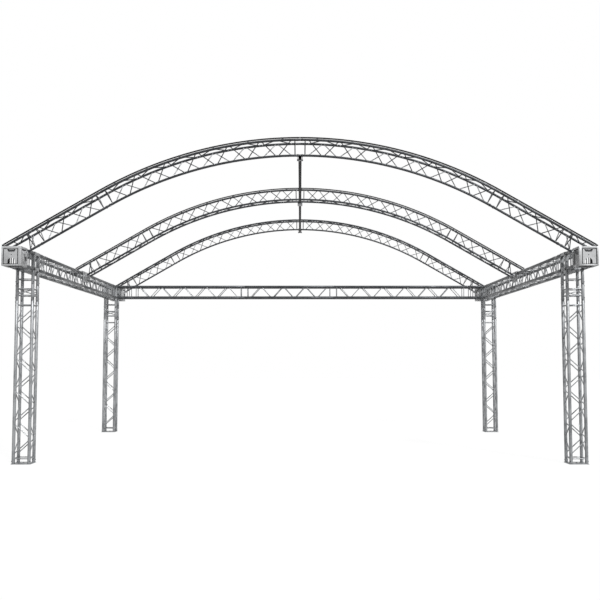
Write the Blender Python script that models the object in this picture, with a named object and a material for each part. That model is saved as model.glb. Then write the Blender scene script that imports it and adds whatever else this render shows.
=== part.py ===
"""Arched truss stage roof: four truss towers, a ring of square truss that is open at the front, and
three arches of triangular truss with a ridge tube. Metres, +Z up, the stage front faces -Y, and the
origin lies on the ground in the middle of the four towers."""

import math

import bmesh
import bpy
from mathutils import Vector

# Clearance between pieces that touch, and the limits of one flat, one smooth stretch and one point
FIT = 0.0003
FLAT_ANGLE = math.radians(0.2)
SMOOTH_ANGLE = math.radians(50)
SAME_POINT = 0.00003

# Tubes and lacing, shared by every truss
CHORD_DIAMETER = 0.050
CHORD_PITCH = 0.240
LACING_WIDTH = 0.020
LACING_DEPTH = 0.016
LACING_FOOT = 0.033
LACING_BAY = 0.250
END_BAY = 0.125
RUNG_INSET = 0.075
SQUARE_SIDES = 8
TRIANGLE_SIDES = 6

# Ground plan and tower heights
STAGE_WIDTH = 8.5
STAGE_DEPTH = 6.0
PLATE_SIZE = 0.300
PLATE_THICKNESS = 0.010
PLATE_CHAMFER = 0.008
TOWER_LENGTH = 2.5
SPACER_LENGTH = 0.25

# Corner blocks and the ring
LEG_LENGTH = 0.355
ARM_LENGTH = 0.5
ARM_SPACER = 0.25
CAGE_BAR = 0.052
CAGE_BITE = 0.005
REAR_LEFT_LENGTH = 2.5
REAR_RIGHT_LENGTH = 3.0

# End blocks that seat the front and rear arch
BLOCK_SIZE = 0.290
BLOCK_WALL = 0.014
BLOCK_FRAME = 0.035
PANEL_RECESS = 0.004
WINDOW_WIDTH = 0.140
WINDOW_FOOT = 0.090
WINDOW_HEIGHT = 0.042
WINDOW_DROP = 0.008
DOOR_WIDTH = 0.110
DOOR_HEIGHT = 0.085
DOOR_FACETS = 5

# Arches
ARCH_TUBE_DIAMETER = 0.035
ARCH_RADIUS = 5.93
ARCH_HALF_ANGLE = math.radians(30)
ARCH_BAYS = 12
ARCH_END_BAY = 0.110
BAYS_PER_BEND = 2
STRAIGHT_BAYS = 4
FOOT_LENGTH = 0.439
FOOT_OUTREACH = 0.100
FOOT_TIE_INSET = 0.130

# Places along an arch foot, as shares of its inner chord
STRUT_HEAD_SHARE = 0.22
FOOT_RUNG_SHARE = 0.42
STRUT_FOOT_SHARE = 0.86

# Feet: pins, lugs on the arches, ears on their seats
PIN_DIAMETER = 0.016
PIN_STANDOFF = 0.044
PIN_SIDES = 6
PIN_TAIL = 0.010
LUG_THICKNESS = 0.012
LUG_HEIGHT = 0.032
LUG_REACH = 0.030
LUG_TIP = 0.024
LUG_ROOT = 0.015
LUG_CHAMFER = 0.008
EAR_THICKNESS = 0.010
EAR_GAP = 0.0008
EAR_MARGIN = 0.016
EAR_DEPTH = 0.032
EAR_ROOT = 0.008
SEAT_THICKNESS = 0.010
SEAT_LENGTH = 0.340
SEAT_SKIRT = 0.200

# Keder rails and ridge tube
RAIL_WIDTH = 0.028
RAIL_HEIGHT = 0.022
RAIL_END_INSET = 0.070
RIDGE_DIAMETER = 0.048
RIDGE_OVERHANG = 0.070
CLAMP_BAR = 0.008
CLAMP_SPREAD = 0.036
CLAMP_MARGIN = 0.010
CLAMP_SLACK = 0.0008
CLAMP_ROOT = 0.002

# Heights and places that follow from the sizes above
CHORD_RADIUS = CHORD_DIAMETER / 2
HALF_PITCH = CHORD_PITCH / 2
HALF_WIDTH = STAGE_WIDTH / 2
HALF_DEPTH = STAGE_DEPTH / 2
TOWER_FOOT = PLATE_THICKNESS + FIT
SPACER_FOOT = TOWER_FOOT + TOWER_LENGTH
LEG_FOOT = SPACER_FOOT + SPACER_LENGTH
RING_Z = LEG_FOOT + LEG_LENGTH
TRIANGLE_DEPTH = CHORD_PITCH * math.sqrt(3) / 2
BLOCK_Y = HALF_DEPTH + ARM_LENGTH + BLOCK_SIZE / 2
BLOCK_TOP = RING_Z + BLOCK_SIZE / 2
SEAT_TOP = RING_Z + HALF_PITCH + CHORD_RADIUS + FIT + SEAT_THICKNESS
FOOT_X = HALF_WIDTH + FOOT_OUTREACH
SINE = math.sin(ARCH_HALF_ANGLE)
COSINE = math.cos(ARCH_HALF_ANGLE)
ARCH_CENTRE_Z = (BLOCK_TOP + (FOOT_X - ARCH_RADIUS * SINE) * SINE / COSINE
                 - ARCH_RADIUS * COSINE)
STRAIGHT_LENGTH = (FOOT_X - ARCH_RADIUS * SINE) / COSINE - FOOT_LENGTH
ARCH_TUBE_RADIUS = ARCH_TUBE_DIAMETER / 2
TRIANGLE_CORNER = ARCH_TUBE_RADIUS / math.cos(math.pi / TRIANGLE_SIDES)
INNER_APEX_Z = ARCH_CENTRE_Z + ARCH_RADIUS - TRIANGLE_DEPTH
RIDGE_FLAT = RIDGE_DIAMETER / 2 * math.tan(math.pi / SQUARE_SIDES)
ARCH_BAY = (ARCH_RADIUS * ARCH_HALF_ANGLE - 2 * ARCH_END_BAY) / ARCH_BAYS
FIRST_BEND = (ARCH_END_BAY + (BAYS_PER_BEND - 0.5) * ARCH_BAY) / ARCH_RADIUS
APEX_DROP = RIDGE_FLAT * math.tan(FIRST_BEND / 2)
RIDGE_Z = INNER_APEX_Z - TRIANGLE_CORNER - APEX_DROP - FIT - RIDGE_DIAMETER / 2

SIDES = {"left": -1, "right": 1}
ENDS = {"front": -1, "rear": 1}
UP = Vector((0, 0, 1))
ALONG_X = Vector((1, 0, 0))
ALONG_Y = Vector((0, 1, 0))


def clear_scene():
    for obj in list(bpy.data.objects):
        bpy.data.objects.remove(obj, do_unlink=True)


def make_material(name, colour, metallic, roughness):
    material = bpy.data.materials.new(name)
    material.use_nodes = True
    shader = material.node_tree.nodes["Principled BSDF"]
    shader.inputs["Base Color"].default_value = (*colour, 1.0)
    shader.inputs["Metallic"].default_value = metallic
    shader.inputs["Roughness"].default_value = roughness
    return material


def make_object(name, bm):
    """Close the bmesh into an object with outward faces, round stretches smooth."""
    bmesh.ops.recalc_face_normals(bm, faces=bm.faces)
    mesh = bpy.data.meshes.new(name)
    bm.to_mesh(mesh)
    bm.free()
    mesh.shade_smooth()
    mesh.set_sharp_from_angle(angle=SMOOTH_ANGLE)
    obj = bpy.data.objects.new(name, mesh)
    bpy.context.scene.collection.objects.link(obj)
    return obj


def combine(obj, tool, operation):
    """Apply an exact Boolean of tool to obj, clear needless flat edges, and remove the tool."""
    modifier = obj.modifiers.new("combine", "BOOLEAN")
    modifier.operation = operation
    modifier.solver = "EXACT"
    modifier.object = tool
    graph = bpy.context.evaluated_depsgraph_get()
    mesh = bpy.data.meshes.new_from_object(obj.evaluated_get(graph))
    bm = bmesh.new()
    bm.from_mesh(mesh)
    bmesh.ops.dissolve_limit(bm, angle_limit=FLAT_ANGLE, verts=bm.verts, edges=bm.edges)
    bm.to_mesh(mesh)
    bm.free()
    obj.modifiers.remove(modifier)
    obj.data = mesh
    bpy.data.objects.remove(tool, do_unlink=True)
    return obj


def finish(obj, material):
    obj.data.materials.clear()
    obj.data.materials.append(MATERIALS[material])
    return obj


def add_prism(bm, ring, offset):
    """Close a prism between a ring of points and its copy moved by offset."""
    bottom = [bm.verts.new(point) for point in ring]
    top = [bm.verts.new(point + offset) for point in ring]
    bm.faces.new(bottom)
    bm.faces.new(top)
    for i, corner in enumerate(bottom):
        follower = (i + 1) % len(ring)
        bm.faces.new((corner, bottom[follower], top[follower], top[i]))


def add_box(bm, low, high):
    low, high = Vector(low), Vector(high)
    ring = [
        Vector((low.x, low.y, low.z)),
        Vector((high.x, low.y, low.z)),
        Vector((high.x, high.y, low.z)),
        Vector((low.x, high.y, low.z)),
    ]
    add_prism(bm, ring, UP * (high.z - low.z))


def box_object(low, high):
    bm = bmesh.new()
    add_box(bm, low, high)
    return make_object("box", bm)


class Station:
    """A place on a tube's centre line, with the two directions that span its cross-section."""

    def __init__(self, point, normal, side):
        self.point = point
        self.normal = normal
        self.side = side


def tube_rings(bm, stations, diameter, corners):
    """A polygon with the given distance across its flats, at each station."""
    radius = diameter / 2 / math.cos(math.pi / corners)
    rings = []
    for station in stations:
        ring = []
        for k in range(corners):
            angle = (k + 0.5) * 2 * math.pi / corners
            offset = station.side * math.cos(angle) + station.normal * math.sin(angle)
            ring.append(bm.verts.new(station.point + offset * radius))
        rings.append(ring)
    return rings


def add_tube(bm, stations, diameter, corners):
    """A plain closed tube through the stations."""
    rings = tube_rings(bm, stations, diameter, corners)
    bm.faces.new(rings[0])
    bm.faces.new(rings[-1])
    for ring, following in zip(rings, rings[1:]):
        for k in range(corners):
            after = (k + 1) % corners
            bm.faces.new((ring[k], ring[after], following[after], following[k]))


class Chord:
    """A tube whose flats can hold the ends of lacing bars."""

    def __init__(self, bm, stations, diameter, corners):
        self.bm = bm
        self.points = [station.point for station in stations]
        self.corners = corners
        self.rings = tube_rings(bm, stations, diameter, corners)
        self.steps = [(b - a).length for a, b in zip(self.points, self.points[1:])]
        self.length = sum(self.steps)
        self.ends = {}

    def locate(self, distance):
        """The span of the centre line that a distance falls in, and the share of it."""
        for span, step in enumerate(self.steps):
            if distance <= step or span == len(self.steps) - 1:
                return span, distance / step
            distance -= step

    def centre(self, distance):
        span, share = self.locate(distance)
        return self.points[span].lerp(self.points[span + 1], share)

    def direction(self, distance):
        span = self.locate(distance)[0]
        return (self.points[span + 1] - self.points[span]).normalized()

    def flat_edges(self, span, flat):
        """The two long edges of a flat, each as its first and last vertex."""
        after = (flat + 1) % self.corners
        ring, following = self.rings[span], self.rings[span + 1]
        return (ring[flat], following[flat]), (ring[after], following[after])

    def facing_flat(self, span, across):
        """The flat that looks along a direction."""
        middle = (self.points[span] + self.points[span + 1]) / 2

        def reach(flat):
            corners = [vert.co for edge in self.flat_edges(span, flat) for vert in edge]
            return (sum(corners, Vector()) / 4 - middle).dot(across)

        return max(range(self.corners), key=reach)

    def bar_end(self, distance, foot, across, outward):
        """Three vertices in the flat that faces across: low left, low right and peak."""
        span, share = self.locate(distance)
        half = foot / 2 / self.steps[span]
        flat = self.facing_flat(span, across)
        first, second = self.flat_edges(span, flat)
        width = (second[0].co - first[0].co).length
        low_side, high_side = first, second
        if (second[0].co - first[0].co).dot(outward) < 0:
            low_side, high_side = second, first
        rise = (1 - LACING_DEPTH / width) / 2

        def place(along, up):
            low = low_side[0].co.lerp(low_side[1].co, along)
            return low.lerp(high_side[0].co.lerp(high_side[1].co, along), up)

        ends = self.ends.setdefault((span, flat), [])
        corners = []
        for along in (share - half, share + half):
            point = place(along, rise)
            shared = [v for end in ends for v in end[1:3] if (v.co - point).length < SAME_POINT]
            corners.append(shared[0] if shared else self.bm.verts.new(point))
        peak = self.bm.verts.new(place(share, 1 - rise))
        ends.append((share, corners[0], corners[1], peak, low_side, high_side))
        return corners[0], corners[1], peak

    def close(self):
        """Add the faces: caps, plain flats, and flats split along their line of bar ends."""
        self.bm.faces.new(self.rings[0])
        self.bm.faces.new(self.rings[-1])
        for span in range(len(self.steps)):
            for flat in range(self.corners):
                ends = sorted(self.ends.get((span, flat), []), key=lambda end: end[0])
                first, second = self.flat_edges(span, flat)
                if not ends:
                    self.bm.faces.new((first[0], first[1], second[1], second[0]))
                    continue
                low_side, high_side = ends[0][4:]
                low_line, high_line = [], []
                for _, left, right, peak, _, _ in ends:
                    if not low_line or low_line[-1] is not left:
                        low_line.append(left)
                        high_line.append(left)
                    low_line.append(right)
                    high_line += [peak, right]
                self.bm.faces.new([low_side[0]] + low_line + [low_side[1]])
                self.bm.faces.new([high_side[0]] + high_line + [high_side[1]])
                self.bm.faces.new((low_side[0], high_side[0], low_line[0]))
                self.bm.faces.new((low_side[1], high_side[1], low_line[-1]))


def straight_line(start, direction, length, normal, side):
    """Two stations of a straight tube that leaves the fit between it and its neighbours."""
    first = start + direction * FIT / 2
    last = start + direction * (length - FIT / 2)
    return [Station(first, normal, side), Station(last, normal, side)]


def add_bar(chord_a, chord_b, distance_a, distance_b, foot=LACING_WIDTH):
    """A three-sided lacing bar between the flats of two chords that face each other."""
    run = (chord_a.direction(distance_a) + chord_b.direction(distance_b)).normalized()
    across = chord_b.centre(distance_b) - chord_a.centre(distance_a)
    across = (across - run * across.dot(run)).normalized()
    outward = run.cross(across)
    start = chord_a.bar_end(distance_a, foot, across, outward)
    end = chord_b.bar_end(distance_b, foot, -across, outward)
    for i in range(3):
        after = (i + 1) % 3
        chord_a.bm.faces.new((start[i], start[after], end[after], end[i]))


def add_zigzag(chord_a, chord_b, bays, end_bay, phase):
    """Diagonals on one face of a truss, which meet at the chords, and a rung near each end."""
    margin = end_bay / chord_a.length
    step = (1 - 2 * margin) / bays
    for k in range(bays):
        first, last = margin + k * step, margin + (k + 1) * step
        rises = (k + phase) % 2 == 0
        share_a, share_b = (first, last) if rises else (last, first)
        offset = LACING_FOOT / 2 if rises else -LACING_FOOT / 2
        add_bar(chord_a, chord_b, share_a * chord_a.length + offset,
                share_b * chord_b.length - offset, LACING_FOOT)
    inset = RUNG_INSET / chord_a.length
    for share in (inset, 1 - inset):
        add_bar(chord_a, chord_b, share * chord_a.length, share * chord_b.length)


def square_chords(bm, start, direction, length):
    """Four chords round an axis, in turn round the section."""
    side = UP.cross(direction) if abs(direction.z) < 0.5 else ALONG_X
    normal = direction.cross(side)
    corners = ((-1, -1), (1, -1), (1, 1), (-1, 1))
    chords = []
    for a, b in corners:
        corner = start + side * a * HALF_PITCH + normal * b * HALF_PITCH
        stations = straight_line(corner, direction, length, normal, side)
        chords.append(Chord(bm, stations, CHORD_DIAMETER, SQUARE_SIDES))
    return chords


def around(chords):
    """Each chord with the one that follows it round the section."""
    return zip(chords, chords[1:] + chords[:1])


def square_truss(name, start, direction, length, phase=0):
    """A straight piece of square truss, whose opposite faces are laced alike."""
    bm = bmesh.new()
    chords = square_chords(bm, start, direction, length)
    bays = max(round(length / LACING_BAY) - 1, 1)
    for i, (chord, follower) in enumerate(around(chords)):
        add_zigzag(chord, follower, bays, END_BAY, (phase + i // 2) % 2)
    for chord in chords:
        chord.close()
    return finish(make_object(name, bm), "truss")


def add_runged_chords(bm, start, direction, length, rungs):
    """Four chords with plain rungs at the given distances."""
    chords = square_chords(bm, start, direction, length)
    for chord, follower in around(chords):
        for distance in rungs:
            add_bar(chord, follower, distance, distance)
    for chord in chords:
        chord.close()


def spacer(name, start, direction, length):
    """A short piece of square truss with a rung near each end of every face."""
    bm = bmesh.new()
    add_runged_chords(bm, start, direction, length, (RUNG_INSET, length - RUNG_INSET))
    return finish(make_object(name, bm), "truss")


def base_plate(name, x, y):
    half = PLATE_SIZE / 2
    bm = bmesh.new()
    add_box(bm, (x - half, y - half, 0), (x + half, y + half, PLATE_THICKNESS))
    edges = [e for e in bm.edges if abs((e.verts[0].co - e.verts[1].co).z) > PLATE_THICKNESS / 2]
    bmesh.ops.bevel(bm, geom=edges, offset=PLATE_CHAMFER, segments=1, profile=0.5,
                    affect="EDGES", material=-1)
    return finish(make_object(name, bm), "plate")


def corner_block(name, x, y, arms):
    """A cube frame with four leg tubes below and four arm tubes on each face that an arm leaves."""
    centre = Vector((x, y, RING_Z))
    outer = CHORD_PITCH + CAGE_BAR
    half = Vector((outer / 2,) * 3)
    gap = CHORD_PITCH / 2 - CAGE_BAR / 2
    block = box_object(centre - half, centre + half)
    for axis in range(3):
        reach = Vector((gap, gap, gap))
        reach[axis] = outer
        combine(block, box_object(centre - reach, centre + reach), "DIFFERENCE")
    tubes = bmesh.new()
    limbs = [(-UP, LEG_LENGTH, (LEG_LENGTH - RUNG_INSET,))]
    first_rung = ARM_LENGTH - ARM_SPACER + RUNG_INSET
    limbs += [(arm, ARM_LENGTH, (first_rung, ARM_LENGTH - RUNG_INSET)) for arm in arms]
    root = outer / 2 - CAGE_BITE
    for direction, length, rungs in limbs:
        add_runged_chords(tubes, centre + direction * root, direction, length - root,
                          [rung - root for rung in rungs])
    combine(block, make_object("tubes", tubes), "UNION")
    block.name = name
    return finish(block, "truss")


def pin_place(seat_face):
    """Where the pin of an arch foot lies, on the line of the inner chord."""
    inner_x = FOOT_X - TRIANGLE_DEPTH * SINE
    inner_z = BLOCK_TOP - TRIANGLE_DEPTH * COSINE
    x = seat_face - PIN_STANDOFF
    return x, inner_z + (inner_x - x) * SINE / COSINE


def pin_bar(x, z, low, high, diameter):
    """A hexagonal bar along Y: a pin, or the cutter of its hole."""
    bm = bmesh.new()
    stations = [Station(Vector((x, y, z)), UP, ALONG_X) for y in (low, high)]
    add_tube(bm, stations, diameter, PIN_SIDES)
    return make_object("pin", bm)


def add_ears(piece, sign, seat_face, lug_ys):
    """A pair of drilled ears on a seat for each lug that comes down to it."""
    x, z = pin_place(seat_face)
    ears = bmesh.new()
    for lug_y in lug_ys:
        for side in (-1, 1):
            near = lug_y + side * (LUG_THICKNESS / 2 + EAR_GAP)
            far = near + side * EAR_THICKNESS
            tip, root = sign * (x - EAR_MARGIN), sign * (seat_face + EAR_ROOT)
            add_box(ears, (min(tip, root), min(near, far), z - EAR_DEPTH),
                    (max(tip, root), max(near, far), z + EAR_MARGIN))
    combine(piece, make_object("ears", ears), "UNION")
    reach = LUG_THICKNESS / 2 + EAR_GAP + EAR_THICKNESS + PIN_TAIL
    hole = pin_bar(sign * x, z, min(lug_ys) - reach, max(lug_ys) + reach,
                   PIN_DIAMETER + 2 * FIT)
    return combine(piece, hole, "DIFFERENCE")


def foot_pin(name, sign, seat_face, lug_ys):
    x, z = pin_place(seat_face)
    reach = LUG_THICKNESS / 2 + EAR_GAP + EAR_THICKNESS + PIN_TAIL
    pin = pin_bar(sign * x, z, min(lug_ys) - reach, max(lug_ys) + reach, PIN_DIAMETER)
    pin.name = name
    return finish(pin, "steel")


def panel_opening(x, y, outline):
    """A cutter through the panel at y, from an outline in X and Z."""
    bm = bmesh.new()
    ring = [Vector((x + dx, y - BLOCK_FRAME, z)) for dx, z in outline]
    add_prism(bm, ring, ALONG_Y * 2 * BLOCK_FRAME)
    return make_object("opening", bm)


def end_block(name, sign, end):
    """A cubic block, open below and towards its truss, with a window and a door in its end."""
    centre = Vector((sign * HALF_WIDTH, end * (BLOCK_Y + FIT / 2), RING_Z))
    half = BLOCK_SIZE / 2
    cube = Vector((half, half - FIT / 2, half))
    block = box_object(centre - cube, centre + cube)
    inner = half - BLOCK_WALL
    combine(block, box_object(centre - Vector((inner, inner, BLOCK_SIZE)),
                              centre + Vector((inner, inner, inner))), "DIFFERENCE")
    field = half - BLOCK_FRAME
    passage_y = centre.y - end * half
    combine(block, box_object((centre.x - field, passage_y - BLOCK_FRAME, centre.z - field),
                              (centre.x + field, passage_y + BLOCK_FRAME, centre.z + field)),
            "DIFFERENCE")
    face_y = centre.y + end * cube.y
    recess = Vector((field, PANEL_RECESS, field))
    combine(block, box_object(Vector((centre.x, face_y, centre.z)) - recess,
                              Vector((centre.x, face_y, centre.z)) + recess), "DIFFERENCE")
    top = centre.z + field - WINDOW_DROP
    window = [(-WINDOW_WIDTH / 2, top), (WINDOW_WIDTH / 2, top),
              (WINDOW_FOOT / 2, top - WINDOW_HEIGHT), (-WINDOW_FOOT / 2, top - WINDOW_HEIGHT)]
    combine(block, panel_opening(centre.x, face_y, window), "DIFFERENCE")
    bottom = centre.z - field
    radius = DOOR_WIDTH / 2
    door = [(-radius, bottom), (radius, bottom)]
    for k in range(DOOR_FACETS + 1):
        angle = math.pi * k / DOOR_FACETS
        door.append((radius * math.cos(angle),
                     bottom + DOOR_HEIGHT - radius + radius * math.sin(angle)))
    combine(block, panel_opening(centre.x, face_y, door), "DIFFERENCE")
    add_ears(block, sign, HALF_WIDTH - half, [end * BLOCK_Y])
    block.name = name
    return finish(block, "block")


def middle_seat(name, sign):
    """An angle over a side truss at its middle joint, which carries the middle arch."""
    truss_face = HALF_WIDTH - HALF_PITCH - CHORD_RADIUS - FIT
    face = truss_face - SEAT_THICKNESS
    outer = HALF_WIDTH + HALF_PITCH + CHORD_RADIUS
    under = SEAT_TOP - SEAT_THICKNESS
    outline = [(face, SEAT_TOP), (outer, SEAT_TOP), (outer, under), (truss_face, under),
               (truss_face, SEAT_TOP - SEAT_SKIRT), (face, SEAT_TOP - SEAT_SKIRT)]
    bm = bmesh.new()
    ring = [Vector((sign * x, -SEAT_LENGTH / 2, z)) for x, z in outline]
    add_prism(bm, ring, ALONG_Y * SEAT_LENGTH)
    seat = make_object(name, bm)
    add_ears(seat, sign, face, [-HALF_PITCH, HALF_PITCH])
    return finish(seat, "block")


class Arch:
    """Where an arch stands and how its three chords lie: (offset along Y, depth inwards)."""

    def __init__(self, y, point_down, phase, seat_face, seat_top, rail_chord):
        self.y = y
        self.phase = phase
        if point_down:
            self.lines = [(-HALF_PITCH, 0), (HALF_PITCH, 0), (0, TRIANGLE_DEPTH)]
        else:
            self.lines = [(0, 0), (-HALF_PITCH, TRIANGLE_DEPTH), (HALF_PITCH, TRIANGLE_DEPTH)]
        self.seat_face = seat_face
        self.seat_top = seat_top
        self.rail_chord = rail_chord

    def lug_ys(self):
        return [self.y + offset for offset, depth in self.lines if depth > 0]


def bend_angles():
    """Where the polygon of a curved chord bends: between the nodes of its lacing."""
    angles = [0]
    bays = BAYS_PER_BEND - 0.5
    while bays < ARCH_BAYS:
        angles.append((ARCH_END_BAY + bays * ARCH_BAY) / ARCH_RADIUS)
        bays += BAYS_PER_BEND
    return angles + [ARCH_HALF_ANGLE]


def curve_stations(sign, y, depth, trim):
    """Stations from the apex to the end of the curve, at a depth inside its outer chord."""
    angles = bend_angles()
    angles[0] += trim
    angles[-1] -= trim
    stations = []
    for angle in angles:
        normal = Vector((sign * math.sin(angle), 0, math.cos(angle)))
        point = Vector((0, y, ARCH_CENTRE_Z)) + normal * (ARCH_RADIUS - depth)
        stations.append(Station(point, normal, ALONG_Y))
    return stations


def slope_start(sign, y, depth, distance):
    """A point on the straight flank, at a distance below the end of the curve."""
    normal = Vector((sign * SINE, 0, COSINE))
    downhill = Vector((sign * COSINE, 0, -SINE))
    start = Vector((0, y, ARCH_CENTRE_Z)) + normal * (ARCH_RADIUS - depth)
    return start + downhill * distance, downhill, normal


def curve_lines(arch, sign):
    trim = FIT / 2 / ARCH_RADIUS
    return [curve_stations(sign, arch.y + offset, depth, trim) for offset, depth in arch.lines]


def straight_lines(arch, sign):
    lines = []
    for offset, depth in arch.lines:
        start, downhill, normal = slope_start(sign, arch.y + offset, depth, 0)
        lines.append(straight_line(start, downhill, STRAIGHT_LENGTH, normal, ALONG_Y))
    return lines


def foot_lines(arch, sign):
    """Outer chords run down to the seat and are cut level, inner chords stop before the pin."""
    lines = []
    pin_x = pin_place(arch.seat_face)[0]
    for offset, depth in arch.lines:
        start, downhill, normal = slope_start(sign, arch.y + offset, depth, STRAIGHT_LENGTH)
        first = Station(start + downhill * FIT / 2, normal, ALONG_Y)
        if depth > 0:
            length = (pin_x - LUG_REACH * COSINE - abs(start.x)) / COSINE
            last = Station(start + downhill * length, normal, ALONG_Y)
        else:
            length = (start.z - arch.seat_top - FIT) / SINE
            last = Station(start + downhill * length, ALONG_X * (sign / SINE), ALONG_Y)
        lines.append([first, last])
    return lines


def laced_arch_piece(name, lines, bays, phase):
    bm = bmesh.new()
    chords = [Chord(bm, line, ARCH_TUBE_DIAMETER, TRIANGLE_SIDES) for line in lines]
    for chord, follower in around(chords):
        add_zigzag(chord, follower, bays, ARCH_END_BAY, phase)
    for chord in chords:
        chord.close()
    return finish(make_object(name, bm), "arch")


def foot_lug(arch, sign, lug_y):
    """A drilled flat lug that carries an inner chord's line on to the pin."""
    x, z = pin_place(arch.seat_face)
    downhill = Vector((sign * COSINE, 0, -SINE))
    normal = Vector((sign * SINE, 0, COSINE))
    centre = Vector((sign * x, lug_y - LUG_THICKNESS / 2, z))
    root = centre - downhill * (LUG_REACH + LUG_ROOT)
    tip = centre + downhill * LUG_TIP
    rise = normal * LUG_HEIGHT / 2
    bm = bmesh.new()
    ring = [root - rise, tip - rise, tip + rise - normal * LUG_CHAMFER,
            tip + rise - downhill * LUG_CHAMFER, root + rise]
    add_prism(bm, ring, ALONG_Y * LUG_THICKNESS)
    return make_object("lug", bm)


def arch_foot(name, arch, sign):
    """The end piece of an arch: rungs at its joint, struts down to the lugs, ties between twins."""
    bm = bmesh.new()
    chords = [Chord(bm, line, ARCH_TUBE_DIAMETER, TRIANGLE_SIDES)
              for line in foot_lines(arch, sign)]
    outer = [c for c, (_, depth) in zip(chords, arch.lines) if depth == 0]
    inner = [c for c, (_, depth) in zip(chords, arch.lines) if depth > 0]
    reach = inner[0].length
    rung = FOOT_RUNG_SHARE * reach
    for high in outer:
        for low in inner:
            add_bar(high, low, rung, rung)
            add_bar(high, low, STRUT_HEAD_SHARE * reach, STRUT_FOOT_SHARE * reach)
    for twins in (outer, inner):
        if len(twins) == 2:
            add_bar(twins[0], twins[1], rung, rung)
    if len(outer) == 2:
        tie = outer[0].length - FOOT_TIE_INSET
        add_bar(outer[0], outer[1], tie, tie)
        add_bar(outer[0], outer[1], rung + LACING_FOOT, tie - LACING_FOOT, LACING_FOOT)
    for chord in chords:
        chord.close()
    foot = make_object(name, bm)
    x, z = pin_place(arch.seat_face)
    for lug_y in arch.lug_ys():
        combine(foot, foot_lug(arch, sign, lug_y), "UNION")
        hole = pin_bar(sign * x, z, lug_y - LUG_THICKNESS, lug_y + LUG_THICKNESS,
                       PIN_DIAMETER + 2 * FIT)
        combine(foot, hole, "DIFFERENCE")
    return finish(foot, "arch")


def keder_rail(name, arch):
    """A rail bent over the whole arch, on the outside of one outer chord."""
    y = arch.y + arch.rail_chord * HALF_PITCH
    lift = TRIANGLE_CORNER + FIT + RAIL_HEIGHT / 2
    flank = (FOOT_X - ARCH_RADIUS * SINE) / COSINE - RAIL_END_INSET
    halves = []
    for sign in (-1, 1):
        end, _, normal = slope_start(sign, y, -lift, flank)
        half = curve_stations(sign, y, -lift, 0)
        halves.append(half + [Station(end, normal, ALONG_Y)])
    line = list(reversed(halves[0])) + halves[1][1:]
    bm = bmesh.new()
    half_width = ALONG_Y * RAIL_WIDTH / 2
    rings = []
    for station in line:
        rise = station.normal * RAIL_HEIGHT / 2
        corners = (-half_width - rise, half_width - rise, half_width + rise, rise - half_width)
        rings.append([bm.verts.new(station.point + corner) for corner in corners])
    bm.faces.new(rings[0])
    bm.faces.new(rings[-1])
    for ring, following in zip(rings, rings[1:]):
        for k in range(4):
            after = (k + 1) % 4
            bm.faces.new((ring[k], ring[after], following[after], following[k]))
    return finish(make_object(name, bm), "rail")


def ridge_tube():
    half = BLOCK_Y + RIDGE_OVERHANG
    bm = bmesh.new()
    stations = [Station(Vector((0, y, RIDGE_Z)), UP, ALONG_X) for y in (-half, half)]
    add_tube(bm, stations, RIDGE_DIAMETER, SQUARE_SIDES)
    return finish(make_object("ridge_tube", bm), "ridge")


def ridge_clamp(name, arch):
    """Bows over the inner chords at both sides of the ridge tube, and a plate under the tube."""
    plate_top = RIDGE_Z - RIDGE_DIAMETER / 2 - FIT
    inside = ARCH_TUBE_RADIUS + CLAMP_SLACK
    outside = inside + CLAMP_BAR
    bow_drop = (CLAMP_SPREAD - CLAMP_BAR / 2) * math.tan(FIRST_BEND / 2)
    inside_top = INNER_APEX_Z + TRIANGLE_CORNER - bow_drop + FIT
    outside_top = inside_top + CLAMP_BAR
    low_y = min(arch.lug_ys()) - outside - CLAMP_MARGIN
    high_y = max(arch.lug_ys()) + outside + CLAMP_MARGIN
    half_x = CLAMP_SPREAD + CLAMP_BAR / 2 + CLAMP_MARGIN
    clamp = box_object((-half_x, low_y, plate_top - CLAMP_BAR), (half_x, high_y, plate_top))
    root = plate_top - CLAMP_ROOT
    bows = bmesh.new()
    for lug_y in arch.lug_ys():
        outline = [(-outside, root), (-outside, outside_top), (outside, outside_top),
                   (outside, root), (inside, root), (inside, inside_top),
                   (-inside, inside_top), (-inside, root)]
        for side in (-1, 1):
            x = side * CLAMP_SPREAD - CLAMP_BAR / 2
            ring = [Vector((x, lug_y + dy, z)) for dy, z in outline]
            add_prism(bows, ring, ALONG_X * CLAMP_BAR)
    clamp.name = name
    return finish(combine(clamp, make_object("bows", bows), "UNION"), "steel")


def build_towers():
    for end, y_sign in ENDS.items():
        for side, x_sign in SIDES.items():
            place = f"{end}_{side}"
            x, y = x_sign * HALF_WIDTH, y_sign * HALF_DEPTH
            base_plate(f"base_plate_{place}", x, y)
            square_truss(f"tower_{place}", Vector((x, y, TOWER_FOOT)), UP, TOWER_LENGTH)
            spacer(f"tower_spacer_{place}", Vector((x, y, SPACER_FOOT)), UP, SPACER_LENGTH)


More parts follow.
